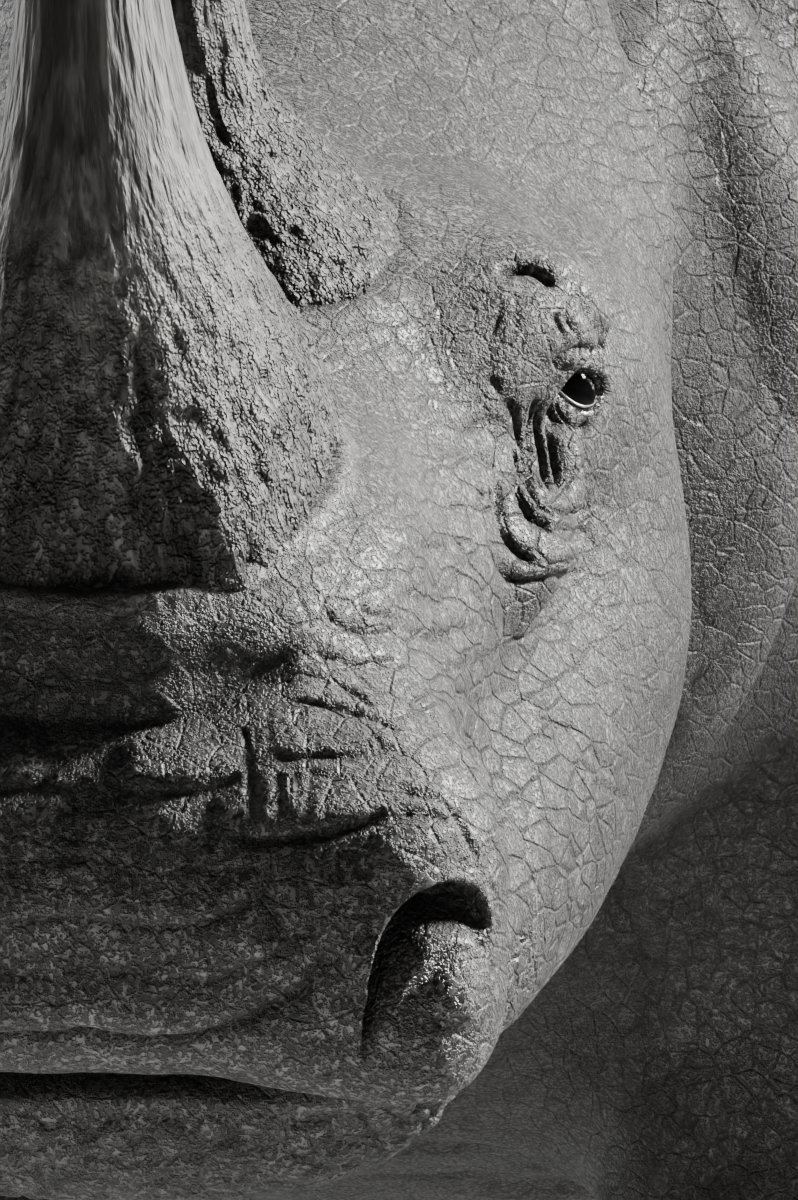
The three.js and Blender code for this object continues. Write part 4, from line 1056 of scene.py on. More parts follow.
def hair_material(tone):
    shader = Shader("hair", 0.5, Specular_IOR_Level=0.4)
    streaks = shader.noise(700.0, 2.0, 0.5, shader.stretched((1, 1, 0.1)))
    return shader.finish(shader.ramp(streaks, (0.3, grey(0.4 * tone)), (0.7, grey(1.4 * tone))))


def floor_material(tone):
    shader = Shader("floor", 0.9)
    patches = shader.noise(1.3, 4.0)
    return shader.finish(shader.ramp(patches, (0.3, grey(0.96 * tone)), (0.7, grey(1.03 * tone))))


# --- the skin --------------------------------------------------------------------------------------------


def sampled(line, step):
    """A line through the given rows, rounded at its corners and cut into even steps."""
    rows = np.array(line, float)
    padded = np.vstack([2 * rows[0] - rows[1], rows, 2 * rows[-1] - rows[-2]])
    made = []
    for a, b, c, d in zip(padded, padded[1:], padded[2:], padded[3:]):
        count = max(2, int(np.linalg.norm(c[:3] - b[:3]) / step))
        t = np.linspace(0, 1, count, endpoint=False)[:, None]
        square, cube = 2 * a - 5 * b + 4 * c - d, 3 * b - a - 3 * c + d
        made.append(0.5 * (2 * b + (c - a) * t + square * t**2 + cube * t**3))
    return np.vstack([*made, rows[-1:]])


def beside_line(points, normals, line):
    """Signed distance to a line on the skin, positive to its left, and the share of it that lies behind."""
    best = np.full(len(points), 1e9)
    signed = np.zeros(len(points))
    share = np.zeros(len(points))
    count = len(line) - 1
    for index, (a, b) in enumerate(zip(line[:-1], line[1:])):
        way = b - a
        t = np.clip((points - a) @ way / max(way @ way, 1e-9), 0, 1)
        off = points - a - t[:, None] * way
        gap = np.linalg.norm(off, axis=1)
        left = np.sign(np.einsum("ij,ij->i", off, np.cross(normals, way)))
        nearer = gap < best
        best = np.where(nearer, gap, best)
        signed = np.where(nearer, gap * left, signed)
        share = np.where(nearer, (index + t) / count, share)
    return signed, share


def furrow(distance, width, sharpness=1.3):
    """1 along a furrow and 0 well away from it."""
    return np.exp(-((np.abs(distance) / width) ** sharpness))


def net_of(points, stretch, size, branch, branch_size, seed):
    """Distances from the lines of a loose net that is stretched one way and branches a little."""
    lines = np.abs(ripple(points * np.array(stretch), size, seed))
    return lines + branch * np.abs(ripple(points, branch_size, seed + 1))


def fold_relief(points, normals, wander):
    """The drawn folds: how far they move the skin, the painted shade of a crease, more for a deeper crease, and
    the painted shade of a deep broad hollow.

    A fold with no swelling beside it is a crease; one marked broad is a soft hollow, or a roll where it is
    negative.
    """
    sink, swell, crease, dark = (np.zeros(len(points)) for _ in range(4))
    for depth, width, bank, rows in FOLDS:
        line = sampled(rows, 5)
        reach = 8 * width + 2
        box = ((points > line.min(0) - reach) & (points < line.max(0) + reach)).all(1)
        near = np.nonzero(box)[0]
        if not len(near):
            continue
        broad = bank == BROAD
        signed, share = beside_line(points[near] + wander[near] * (not broad), normals[near], line)
        shoulder = np.exp(-((np.abs(signed) / (3.4 * width)) ** 2))
        if broad:
            ends = smooth(share, 0, 0.3) * smooth(share, 1, 0.7)
            swell[near] -= depth * shoulder * ends
            if depth > 6:
                # a deep broad hollow gets painted shade
                dark[near] = np.maximum(dark[near], shoulder * ends)
            continue
        fade = smooth(share, 0, 0.16) * smooth(share, 1, 0.84) * (np.abs(signed) < reach)
        fade = np.where((share > 0) & (share < 1), fade, 0)
        groove = np.exp(-((np.abs(signed) / width) ** 1.4)) * fade
        softer = 0.62 if depth < 4 and rows[0][0] > 820 else 1
        sink[near] = np.maximum(sink[near], softer * depth * (0.78 * groove + 0.4 * shoulder * fade))
        # painted shade along the crease
        crease[near] = np.maximum(crease[near], groove * min(1, depth / 3.2))
        x = np.maximum(signed, 0) / (2.2 * width)
        swell[near] += bank * fade * x * np.exp(1 - x)
    return swell - sink, crease, dark


def push_nostril(points):
    """Sinks the nostril; points are along, away, above. Gives the push, the hollow's share and its rim."""
    table = sampled(NOSTRIL_LINE, 2)
    way = np.array(NOSTRIL_WAY) / np.linalg.norm(NOSTRIL_WAY)
    best, depth = np.full(len(points), 1e9), np.zeros(len(points))
    for row in table:
        off = points - row[:3]
        ratio = np.linalg.norm(off, axis=1) / row[3]
        nearer = ratio < best
        best = np.where(nearer, ratio, best)
        depth = np.where(nearer, row[4], depth)
    bowl = smooth(best, 1.04, 0.45)
    near = np.linalg.norm(points - table[len(table) // 2, :3], axis=1) < 90
    bowl = np.where(near, bowl, 0)
    rim = np.where(near, bell(best - 1.25, 0.3) * np.minimum(1, depth / 20), 0)
    return way * (depth * bowl)[:, None], bowl, rim


def eye_axes():
    """The eye's outward, outer-corner and upward directions, along, away, above."""
    out = np.array(GAZE) / np.linalg.norm(GAZE)
    up = np.array([-0.62, 0.02, 0.78])
    up = up - up @ out * out
    up /= np.linalg.norm(up)
    return out, np.cross(up, out), up


def open_eye(points):
    """Parts the lids; gives the push, how far inside the opening each point lies, and how near the lid's margin
    it is, which the hide reads as wet and as painted shade.
    """
    out, outer, up = eye_axes()
    offset = points - np.array([EYE["along"], EYE["side"], EYE["above"]])
    gap = np.linalg.norm(offset, axis=1)
    x, y, z = offset @ outer, offset @ up, offset @ out
    across = EYE["radius"] * np.arctan2(x, z)
    rise = EYE["radius"] * np.arctan2(y, np.hypot(x, z))
    share = np.clip(np.abs(across) / OPENING["half"], 0, 1)
    upper = OPENING["upper"] * (1 - share**2.6)
    lower = -OPENING["lower"] * (1 - share**2) ** 0.8
    inside = np.minimum(upper - rise, rise - lower)
    inside = np.minimum(inside, 1.2 * (OPENING["half"] - np.abs(across)))
    inside = np.where((z > 0) & (gap < 45), inside, -30)
    sunk = smooth(inside, -0.4, 1.8)
    around = (z > 0) & (gap < 45) & (inside > -9)
    hugging = np.minimum(gap, 23.4 + 1.05 * np.maximum(0, -inside))
    settled = np.where(around, hugging, gap)
    settled = settled + (13 - settled) * sunk
    push = -(offset / gap[:, None]) * (gap - settled)[:, None]
    near = (gap < 60) & (z > -5)
    edge = np.where(near, bell(inside + 0.2, 1.2), 0)
    return push, sunk, edge


def body_relief(scaled, side, height, share):
    """Lift of the body's hide and the painted shade of its creases; share is how far each point belongs to the
    body.
    """
    at = scaled + 16 * np.stack([ripple(scaled, 160, 90 + n) for n in range(3)], 1)
    amount = share * smooth(height, 60, 300)
    long = furrow(net_of(at, (0.5, 1, 0.2), 62, 0.15, 30, 93), 0.13) * smooth(ripple(at, 210, 97), -0.4, 0.4)
    cross = furrow(net_of(at, (1, 0.6, 1), 88, 0.15, 34, 95), 0.1) * smooth(ripple(at, 190, 98), -0.2, 0.5)
    lift = amount * (5 * rough(at * np.array([0.7, 1, 0.5]), 110, 99, 2) - 5 * long - 2.5 * cross)
    limb = smooth(height, 40, 90) * smooth(height, 760, 520)
    ring = furrow(net_of(at, (0.3, 0.3, 1), 34, 0.2, 22, 101), 0.16) * limb
    ring = ring * smooth(ripple(at, 120, 103), -0.5, 0.3)
    lift -= 3.5 * ring
    # painted shade in the wrinkles here and in the folds below
    crease = np.maximum(0.5 * amount * np.maximum(long, cross), 0.6 * ring)
    flat = np.stack([ORIGIN_FORWARD - at[:, 1], at[:, 2], 0 * at[:, 2]], 1)
    outward = np.tile([0.0, 0.0, 1.0], (len(at), 1))
    for depth, width, rows in BODY_FOLDS:
        line = sampled([(*row, 0) for row in rows], 30)
        signed, run = beside_line(flat, outward, line)
        present = smooth(run, 0, 0.2) * smooth(run, 1, 0.8) * smooth(np.abs(side), 40, 120)
        groove = furrow(signed, width, 1.5) * present
        swell = furrow(np.abs(signed) - 2.4 * width, 1.5 * width, 2) * present
        lift += depth * (0.45 * swell - groove)
        crease = np.maximum(crease, 0.55 * groove**2)
    return lift, crease


def face_relief(place, facing, true, under):
    """Lift, push and marks of the head's hide.

    place and facing are turned to the left side of the head, true is where the points are, and under is the
    lift that the skin has there already.
    """
    wander = 1.1 * np.stack([ripple(true, 14, seed) for seed in (31, 32, 33)], 1)
    folds, crease, hollow_shade = fold_relief(place, facing, wander)
    along, away, above = place.T
    level = MOUTH["above"] + 1.6 * ripple(true, 34, 47) + 3 * smooth(away, 110, 20)
    mouth = furrow(above - level, MOUTH["width"], 1.8)
    mouth = mouth * smooth(along, MOUTH["corner"], MOUTH["corner"] + 40)
    # pillows of the muzzle's front, parted by upright and level creases
    front = smooth(along, 880, 930) * smooth(above, -318, -300) * (1 - smooth(above, -165, -150))
    upright = furrow(net_of(true, (0.5, 1, 0.34), 13, 0.25, 9, 41), 0.1, 1.2)
    across = furrow(net_of(true, (0.5, 0.3, 1), 15, 0.2, 9, 44), 0.1, 1.2)
    upright = upright * smooth(ripple(true, 40, 43), -0.5, 0.3)
    across = across * smooth(ripple(true, 44, 46), -0.4, 0.3)
    fine = np.maximum(upright, across) * front
    # cobbles of the lower lip
    lower = smooth(above, -330, -342) * smooth(along, 640, 760) * (1 - smooth(away, 185, 200))
    near, second = cobbles(true * np.array([1, 1, 0.8]), 15, 61)
    seams = furrow(second - near, 0.13, 1.5)
    # the rear horn's seat and the front horn's collar
    seat = bell(np.hypot((along - 502) / 108, away / 102) - 1.0, 0.05) * smooth(above, -170, -130)
    reach = np.hypot((along - 762) / 128, away / 101)
    collar = bell(reach - 1.0, 0.045) * smooth(above, -190, -150) * (1 - smooth(above, -60, -40))
    tufted = 0.7 + 0.5 * ripple(true, 5, 51) + 0.5 * ripple(true, 12, 52)
    # lines between the horn and the nostril, and a fine roughness all over
    corner = smooth(along, 700, 820) * smooth(above, -262, -215) * smooth(above, -90, -120)
    corner = corner * smooth(away, 40, 90)
    lined = furrow(net_of(true, (0.22, 0.5, 1), 8.5, 0.3, 7, 71), 0.13) * corner
    lined = lined * smooth(ripple(true, 30, 73), -0.4, 0.2)
    nostril, bowl, rim = push_nostril(place)
    lid, sunk, edge = open_eye(place)
    lift = under + 0.35 * rough(true, 9, 81, 2) - 0.9 * lined
    lift += folds - MOUTH["depth"] * mouth - 0.7 * fine + (3 + 2 * tufted) * collar - 5 * seat
    lift += lower * (2.2 * (0.5 - near) - 2.4 * seams)
    lift = lift * (1 - sunk) * (1 - 0.8 * bowl) + 1.5 * rim
    # darker round the eye
    from_lids = (place - np.array([505, 178, -190])) / np.array([1, 1, 1.4])
    lids = 0.4 * bell(np.linalg.norm(from_lids, axis=1), 42)
    # painted shade under the mouth, on the jaw
    jaw_shade = 0.4 * smooth(above, -318, -335) * smooth(away, 160, 110)
    gloss = 0.8 * bell(np.linalg.norm(place - np.array([960, 152, -262]), axis=1), 30)
    cheek = smooth(above, -110, -210) * smooth(along, 480, 600) * (1 - smooth(along, 880, 930))
    # painted shade: in the creases, the mouth's slit, the horn's seat and the lip's seams, and in the nostril,
    # at the lid's margin, in deep hollows and under the mouth
    marks = {
        "crease": np.maximum.reduce([crease, mouth, 0.45 * fine, 0.6 * lined, 0.8 * seat, 0.8 * seams * lower]),
        "dark": np.maximum.reduce([bowl**0.6, smooth(edge, 0.2, 0.8), 0.55 * hollow_shade, lids, jaw_shade]),
        "wet": np.maximum(edge, gloss),
        "pale": collar,
        "rim": np.maximum(np.where(bowl > 0, 1, 0), rim),
        "crack": cheek,
    }
    return lift, nostril + lid, marks


def skin_relief(points, normals):
    """How far each point of the smooth skin moves, in metres, and the marks that the hide reads."""
    head = head_coordinates(points)
    side, forward, height = body_coordinates(points)
    scaled = points / MM
    lift = 1.6 * rough(scaled, 90, 11) + 0.9 * rough(scaled, 26, 12)
    marks = {name: np.zeros(len(points)) for name in MARKS}
    marks["body"] = 1 - smooth(head[:, 0], 0, 330) * smooth(forward, 2500, 2760)
    rear = np.nonzero(marks["body"] > 0)[0]
    raised, marks["crease"][rear] = body_relief(scaled[rear], side[rear], height[rear], marks["body"][rear])
    lift[rear] += raised
    face = np.nonzero((head[:, 0] > 180) & (forward > 2780) & (head[:, 2] > -620))[0]
    hand = np.where(head[face, 1] < 0, -1.0, 1.0)
    mirror = np.stack([hand * 0 + 1, hand, hand * 0 + 1], 1)
    turn = np.array(head_matrix())[:3, :3]
    local = normals[face] @ turn
    facing = np.stack([-local[:, 1], local[:, 0], local[:, 2]], 1) * mirror
    lift[face], pushed, found = face_relief(head[face] * mirror, facing, head[face], lift[face])
    for name, values in found.items():
        marks[name][face] = values
    pushed = pushed * mirror
    push = np.zeros((len(points), 3))
    push[face] = np.stack([pushed[:, 1], -pushed[:, 0], pushed[:, 2]], 1) @ turn.T * MM
    move = normals * (lift * MM)[:, None] + push
    move[:, 2] = np.maximum(move[:, 2], -points[:, 2])
    return move, marks


def near_eye(points, reach):
    head = head_coordinates(points)
    away = np.abs(head[:, 1])
    middle = np.array([EYE["along"] + 30, EYE["side"], EYE["above"] - 16])
    offset = (np.stack([head[:, 0], away, head[:, 2]], 1) - middle) / np.array([1.2, 1, 1.2])
    return np.linalg.norm(offset, axis=1) < reach


def in_face(points, along):
    """Whether points lie on the head, nearer the nose than along."""
    head = head_coordinates(points)
    return (head[:, 0] > along) & (points[:, 1] < (ORIGIN_FORWARD - 2700) * MM) & (head[:, 2] > -640)


def on_muzzle(points):
    head = head_coordinates(points)
    return in_face(points, 830) & (head[:, 2] > -345) & (head[:, 2] < -95)


VOXEL = 0.0125
REFINEMENTS = [
    lambda p: in_face(p, -60),
    lambda p: in_face(p, 400),
    lambda p: near_eye(p, 96) | on_muzzle(p),
    lambda p: near_eye(p, 40),
]


def grow_skin():
    """The whole skin as one mesh, fine on the head and coarser behind it."""
    mesh = remeshed(rough_solids(), VOXEL)
    points = settle(points_of(mesh), 4)
    points = settle(relax(points, edges_of(mesh), 6), 3)
    move_points(mesh, points)
    for wanted in REFINEMENTS:
        refine(mesh, wanted)
        move_points(mesh, settle(points_of(mesh), 2, 6.0))
    return mesh


def region_of(points):
    """The skin's pieces, numbered from the muzzle back, by where their faces lie."""
    head = head_coordinates(points)
    region = np.where(points[:, 1] < 0, 4, 5)
    region = np.where(in_face(points, -60), 3, region)
    region = np.where(in_face(points, 400), np.where(head[:, 1] > 0, 1, 2), region)
    return np.where(in_face(points, 830), 0, region)


SKIN_NAMES = ("skin_muzzle", "skin_face_left", "skin_face_right", "skin_skull", "skin_front", "skin_rear")


def skin_pieces(mesh):
    """The skin in pieces that share their edges and their shading, so that no seam shows."""
    shade_smooth(mesh)
    layer = mesh.attributes.new("whole", "FLOAT_VECTOR", "POINT")
    layer.data.foreach_set("vector", normals_of(mesh).astype(np.float32).ravel())
    centres = np.empty(len(mesh.polygons) * 3, np.float32)
    mesh.polygons.foreach_get("center", centres)
    regions = region_of(centres.reshape(-1, 3).astype(float)).astype(np.int32)
    mesh.polygons.foreach_set("material_index", regions)
    whole = new_object("skin", mesh)
    for _ in SKIN_NAMES:
        mesh.materials.append(None)
    bpy.context.view_layer.objects.active = whole
    whole.select_set(True)
    before = set(bpy.data.objects)
    bpy.ops.object.mode_set(mode="EDIT")
    bpy.ops.mesh.select_all(action="SELECT")
    bpy.ops.mesh.separate(type="MATERIAL")
    bpy.ops.object.mode_set(mode="OBJECT")
    pieces = [whole, *(set(bpy.data.objects) - before)]
    for piece in pieces:
        middle = np.array([piece.data.polygons[0].center])
        piece.name = SKIN_NAMES[region_of(middle)[0]]
        count = len(piece.data.polygons)
        piece.data.polygons.foreach_set("material_index", np.zeros(count, np.int32))
        flat = np.empty(len(piece.data.vertices) * 3, np.float32)
        piece.data.attributes["whole"].data.foreach_get("vector", flat)
        piece.data.normals_split_custom_set_from_vertices(flat.reshape(-1, 3))
        piece.data.attributes.remove(piece.data.attributes["whole"])
        piece.select_set(False)
    return pieces


# --- horns, eyes, nails and ears -------------------------------------------------------------------------

# Rows of height above the seat, half length, half width, lean back.
HORNS = {
    "horn_front": {
        "along": 760, "above": -100, "pitch": 6,
        "rows": [
            (-34, 114, 92, 0), (0, 120, 95, 0), (40, 114, 89, 2), (85, 99, 75, 4), (130, 80, 60, 4),
            (175, 63, 46, 1), (220, 51, 37, -8), (270, 43, 31, -22), (340, 34, 27, -48), (410, 24, 20, -86),
            (470, 13, 11, -126), (492, 1, 1, -142),
        ],
    },
    "horn_rear": {
        "along": 500, "above": -80, "pitch": 2,
        "rows": [
            (-32, 94, 92, 0), (0, 98, 96, 0), (20, 88, 84, 1), (50, 68, 60, 3), (80, 52, 42, 4),
            (112, 42, 32, 2), (148, 34, 26, -4), (188, 25, 19, -12), (222, 14, 11, -20), (245, 1, 1, -26),
        ],
    },
}


def make_horn(name, horn):
    mesh = mesh_from(ringed_cylinder(190, 240), name)
    points = points_of(mesh)
    share = points[:, 2] + 0.5
    angle = np.arctan2(points[:, 1], points[:, 0])
    foot, tip = horn["rows"][0][0], horn["rows"][-1][0]
    height = foot + (tip - foot) * share
    reach, half, lean = curves_through(horn["rows"])(height)
    power = 2 + 0.9 * (1 - smooth(height, 0, 120))
    c, s = np.cos(angle), np.sin(angle)
    corner = (np.abs(c) ** power + np.abs(s) ** power) ** (-1 / power)
    low = 1 - smooth(height, 40, 190)
    strand = np.stack([c * half, s * reach, height * 0.07], 1)
    solid = np.stack([c * half, s * reach, height * 0.5], 1)
    clump = rough(solid, 8, 15, 2) * low
    lump = rough(solid, 34, 5) * 5 * low + 2.8 * clump
    fibre = ripple(strand, 4.5, 8) * (0.7 + 0.9 * low) + ripple(strand, 2.2, 9) * 0.35
    out = 1 + (lump + fibre) / np.maximum(half, 12)
    local = np.stack([c * corner * half * out, s * corner * reach * out - lean, height], 1) * MM
    place = head_matrix(horn["along"], 0, horn["above"])
    move_points(mesh, carried(local, place @ Matrix.Rotation(math.radians(horn["pitch"]), 4, "X")))
    layer = mesh.attributes.new("strand", "FLOAT_VECTOR", "POINT")
    layer.data.foreach_set("vector", (strand * MM).astype(np.float32).ravel())
    mark(mesh, "base", low)
    # painted shade where the clumps dip
    mark(mesh, "pit", smooth(clump, -0.05, -0.5) * 0.9)
    shade_smooth(mesh)
    return new_object(name + "_fibres", mesh)


def make_eye(hand):
    bm = bmesh.new()
    bmesh.ops.create_uvsphere(bm, u_segments=64, v_segments=48, radius=EYE["radius"] * MM)
    mesh = mesh_from(bm, "eyeball")
    points = points_of(mesh)
    out = Vector((GAZE[1] * hand, -GAZE[0], GAZE[2])).normalized()
    facing = points @ np.array(out) / (EYE["radius"] * MM)
    move_points(mesh, carried(points, head_matrix(EYE["along"], EYE["side"] * hand, EYE["above"])))
    mark(mesh, "out", facing)
    shade_smooth(mesh)
    return new_object(left_or_right("eyeball", hand), mesh)


# A nail's half width, thickness and half height, its centre, its cut foot, how far out of the toe it stands,
# its lean, and the sizes of the middle and outer nails.
NAIL = {
    "half": 47, "thick": 24, "tall": 50, "centre": 40, "foot": 6, "out": 52, "lean": -0.22,
    "middle": 1.12, "outer": 0.92,
}


def make_nails(leg_name):
    """A leg's three nails, each with its own mesh."""
    made = []
    for number, (angle, side, forward) in enumerate(toes_of(LEGS[leg_name])):
        share = NAIL["middle"] if number == 1 else NAIL["outer"]
        bm = bmesh.new()
        bmesh.ops.create_uvsphere(bm, u_segments=48, v_segments=32, radius=1)
        size = Matrix.Diagonal((NAIL["half"] * share * MM, NAIL["thick"] * MM, NAIL["tall"] * share * MM, 1))
        side += math.sin(angle) * NAIL["out"]
        forward += math.cos(angle) * NAIL["out"]
        at = world_point(side, forward, NAIL["centre"])
        turn = Matrix.Rotation(angle, 4, "Z") @ Matrix.Rotation(NAIL["lean"], 4, "X")
        bm.transform(Matrix.Translation(at) @ turn @ size)
        everything = bm.verts[:] + bm.edges[:] + bm.faces[:]
        level = bmesh.ops.bisect_plane(
            bm, geom=everything, plane_co=(0, 0, NAIL["foot"] * MM), plane_no=(0, 0, -1), clear_outer=True
        )
        rim = [e for e in level["geom_cut"] if isinstance(e, bmesh.types.BMEdge)]
        bmesh.ops.edgeloop_fill(bm, edges=rim)
        mesh = mesh_from(bm, "nail")
        points = points_of(mesh)
        grooves = 0.5 * ripple(points / MM * np.array([1, 1, 0.12]), 5, 21)
        upper = smooth(points[:, 2] / MM, NAIL["foot"] + 1, NAIL["foot"] + 8)
        move_points(mesh, points + normals_of(mesh) * (grooves * upper * MM)[:, None])
        shade_smooth(mesh)
        made.append(new_object(f"{leg_name}_nail_{number + 1}_horn", mesh))
    return made


EAR = {"along": 46, "side": 118, "above": -58, "length": 268, "bend": 26, "seat": 0.35, "sunk": 12}
# Rows of share of the ear's length, half width round the cup, the cup's radius, thickness.
EAR_ROWS = [
    (0, 100, 34, 10), (0.2, 122, 44, 9), (0.45, 132, 57, 7.5), (0.7, 106, 60, 6.5), (0.88, 58, 54, 6),
    (1, 8, 48, 5),
]
EAR_ROOT = {"deep": 26, "radii": (36, 36, 44)}


def ear_matrix(hand):
    """The ear's own frame: z up the ear, and -y the way that its cup opens."""
    root = head_point(EAR["along"], hand * EAR["side"], EAR["above"])
    up = Vector((hand * 0.4, 0.06, 1)).normalized()
    opening = Vector((hand * 0.5, -1, 0))
    back = -(opening - up * opening.dot(up)).normalized()
    across = back.cross(up)
    return Matrix.Translation(root) @ Matrix((across, back, up)).transposed().to_4x4()


def make_ear(hand):
    """A leaf rolled into a cup, on a round root."""
    bm = bmesh.new()
    bmesh.ops.create_cube(bm, size=1)
    bm.edges.ensure_lookup_table()

    def cut(axis, cuts):
        chosen = [e for e in bm.edges if abs((e.verts[0].co - e.verts[1].co)[axis]) > 0.01]
        bmesh.ops.subdivide_edges(bm, edges=chosen, cuts=cuts, use_grid_fill=True)

    cut(0, 40)
    cut(2, 50)
    cut(1, 2)
    leaf = mesh_from(bm, "ear")
    points = points_of(leaf)
    share = points[:, 2] + 0.5
    half_width, roll, thickness = curves_through(EAR_ROWS)(share)
    angle = points[:, 0] * 2 * half_width / roll
    radius = roll - thickness * (0.5 - points[:, 1])
    back = EAR["bend"] * share**2 - roll * EAR["seat"]
    height = share * EAR["length"] - EAR["sunk"]
    local = np.stack([np.sin(angle) * radius, np.cos(angle) * radius + back, height], 1)
    move_points(leaf, carried(local * MM, ear_matrix(hand)))
    both = bmesh.new()
    both.from_mesh(leaf)
    root = bmesh.new()
    bmesh.ops.create_icosphere(root, subdivisions=4, radius=1)
    size = Matrix.Diagonal((*(r * MM for r in EAR_ROOT["radii"]), 1))
    root.transform(ear_matrix(hand) @ Matrix.Translation((0, 0, -EAR_ROOT["deep"] * MM)) @ size)
    ball = mesh_from(root, "ear root")
    both.from_mesh(ball)
    bmesh.ops.recalc_face_normals(both, faces=both.faces)
    both.to_mesh(leaf)
    both.free()
    mesh = remeshed(leaf, 0.0026)
    points = relax(points_of(mesh), edges_of(mesh), 6)
    move_points(mesh, points)
    zeros = np.zeros(len(points))
    # no painted shade on the ear
    mark(mesh, "crease", zeros)
    mark(mesh, "dark", zeros)
    shade_smooth(mesh)
    return new_object(left_or_right("ear", hand) + "_skin", mesh)


# --- hair ------------------------------------------------------------------------------------------------


def body_patch(roots):
    """Where roots lie on the skin laid out flat: around the body, and along it."""
    side, forward, height = body_coordinates(roots)
    around = 0.5 + 0.45 * np.arctan2(side, height - 1000) / np.pi
    return np.stack([around, 0.02 + 0.96 * (forward + 200) / 4000], 1)


def make_hair(name, lines, widths, sides=4):
    """Tapered hairs, each along its own line; lines has a row of points for each hair."""
    count, levels, _ = lines.shape
    one = mesh_from(ringed_cylinder(levels - 2, sides), "hair")
    pattern = points_of(one)
    level = np.rint((pattern[:, 2] + 0.5) * (levels - 1)).astype(int)
    angle = np.arctan2(pattern[:, 1], pattern[:, 0])
    joined = bmesh.new()
    for _ in range(count):
        joined.from_mesh(one)
    mesh = mesh_from(joined, name)
    way = lines[:, -1] - lines[:, 0]
    way /= np.linalg.norm(way, axis=1)[:, None]
    across = np.cross(way, np.array([0.31, 0.9, 0.27]))
    across /= np.linalg.norm(across, axis=1)[:, None]
    other = np.cross(way, across)
    taper = (1 - np.linspace(0, 1, levels) ** 2.2 * 0.94)[level]
    reach = widths[:, None] * taper[None]
    ring = across[:, None] * np.cos(angle)[None, :, None] + other[:, None] * np.sin(angle)[None, :, None]
    move_points(mesh, (lines[:, level] + ring * reach[..., None]).reshape(-1, 3))
    patch = body_patch(lines[:, 0])[:, None] + 0.003 * np.stack([level / levels, 0.5 + angle / 7], 1)[None]
    corners = np.empty(len(mesh.loops), np.int32)
    mesh.loops.foreach_get("vertex_index", corners)
    layer = mesh.uv_layers.new(name="OFBake")
    layer.data.foreach_set("uv", patch.reshape(-1, 2)[corners].astype(np.float32).ravel())
    shade_smooth(mesh)
    return new_object(name, mesh)


def hanging(roots, ways, lengths, droop, levels=7, curl=0.0, seed=5):
    """Lines that leave their roots along ways and bend by droop, each with a little curl of its own."""
    draws = np.random.default_rng(seed).normal(size=(len(roots), 3))
    share = np.linspace(0, 1, levels)[None, :, None]
    reach = lengths[:, None, None]
    return roots[:, None] + reach * (ways[:, None] * share + (droop + curl * draws)[:, None] * share**2)


LASHES, FRINGE, BRISTLES = 90, 900, 700  # hairs on a lid, on an ear and on the tail


def unit(vectors):
    return vectors / np.linalg.norm(vectors, axis=-1, keepdims=True)


def lid_points(across, rise, radius):
    """Points round the eye by their way across and up the lid, and the way that each faces."""
    out, outer, up = eye_axes()
    turn, tilt = (across / EYE["radius"])[:, None], (rise / EYE["radius"])[:, None]
    facing = np.cos(tilt) * (np.sin(turn) * outer + np.cos(turn) * out) + np.sin(tilt) * up
    return np.array([EYE["along"], EYE["side"], EYE["above"]]) + facing * radius, facing, turn


def from_head(points, hand):
    """Points of the head's left side, as along, away, above, in the world on either side."""
    flat = np.stack([points[..., 1] * hand, -points[..., 0], points[..., 2]], -1) * MM
    return carried(flat, head_matrix())


def make_lashes(hand):
    """Lashes along the margin of the upper lid, thicker towards the outer corner."""
    rng = np.random.default_rng(3)
    _, outer, up = eye_axes()
    across = OPENING["half"] * np.linspace(-0.6, 0.93, LASHES) + rng.normal(0, 0.25, LASHES)
    rise = OPENING["upper"] * (1 - np.abs(across / OPENING["half"]) ** 2.6) + 0.4
    roots, facing, turn = lid_points(across, rise, EYE["radius"] + 2.6)
    drift = rng.normal(0, 0.14, (LASHES, 3))
    ways = unit(0.9 * facing + 0.4 * outer * np.clip(turn + 0.2, 0, 1) - 0.7 * up + drift)
    lines = hanging(roots, ways, rng.uniform(5, 9, LASHES), 0.15 * up, curl=0.07)
    return make_hair(left_or_right("lashes", hand), from_head(lines, hand), np.full(LASHES, 0.00028))


def make_tear_highlight(hand):
    """The wet line that stands along the lower lid; its pale colour is a painted highlight."""
    across = OPENING["half"] * np.linspace(-0.8, 0.9, 24)
    rise = -OPENING["lower"] * (1 - (across / OPENING["half"]) ** 2) ** 0.8 + 1.5
    line, _, _ = lid_points(across, rise, EYE["radius"] + 0.3)
    return make_hair(left_or_right("tear", hand), from_head(line, hand)[None], np.full(1, 0.0009), sides=10)


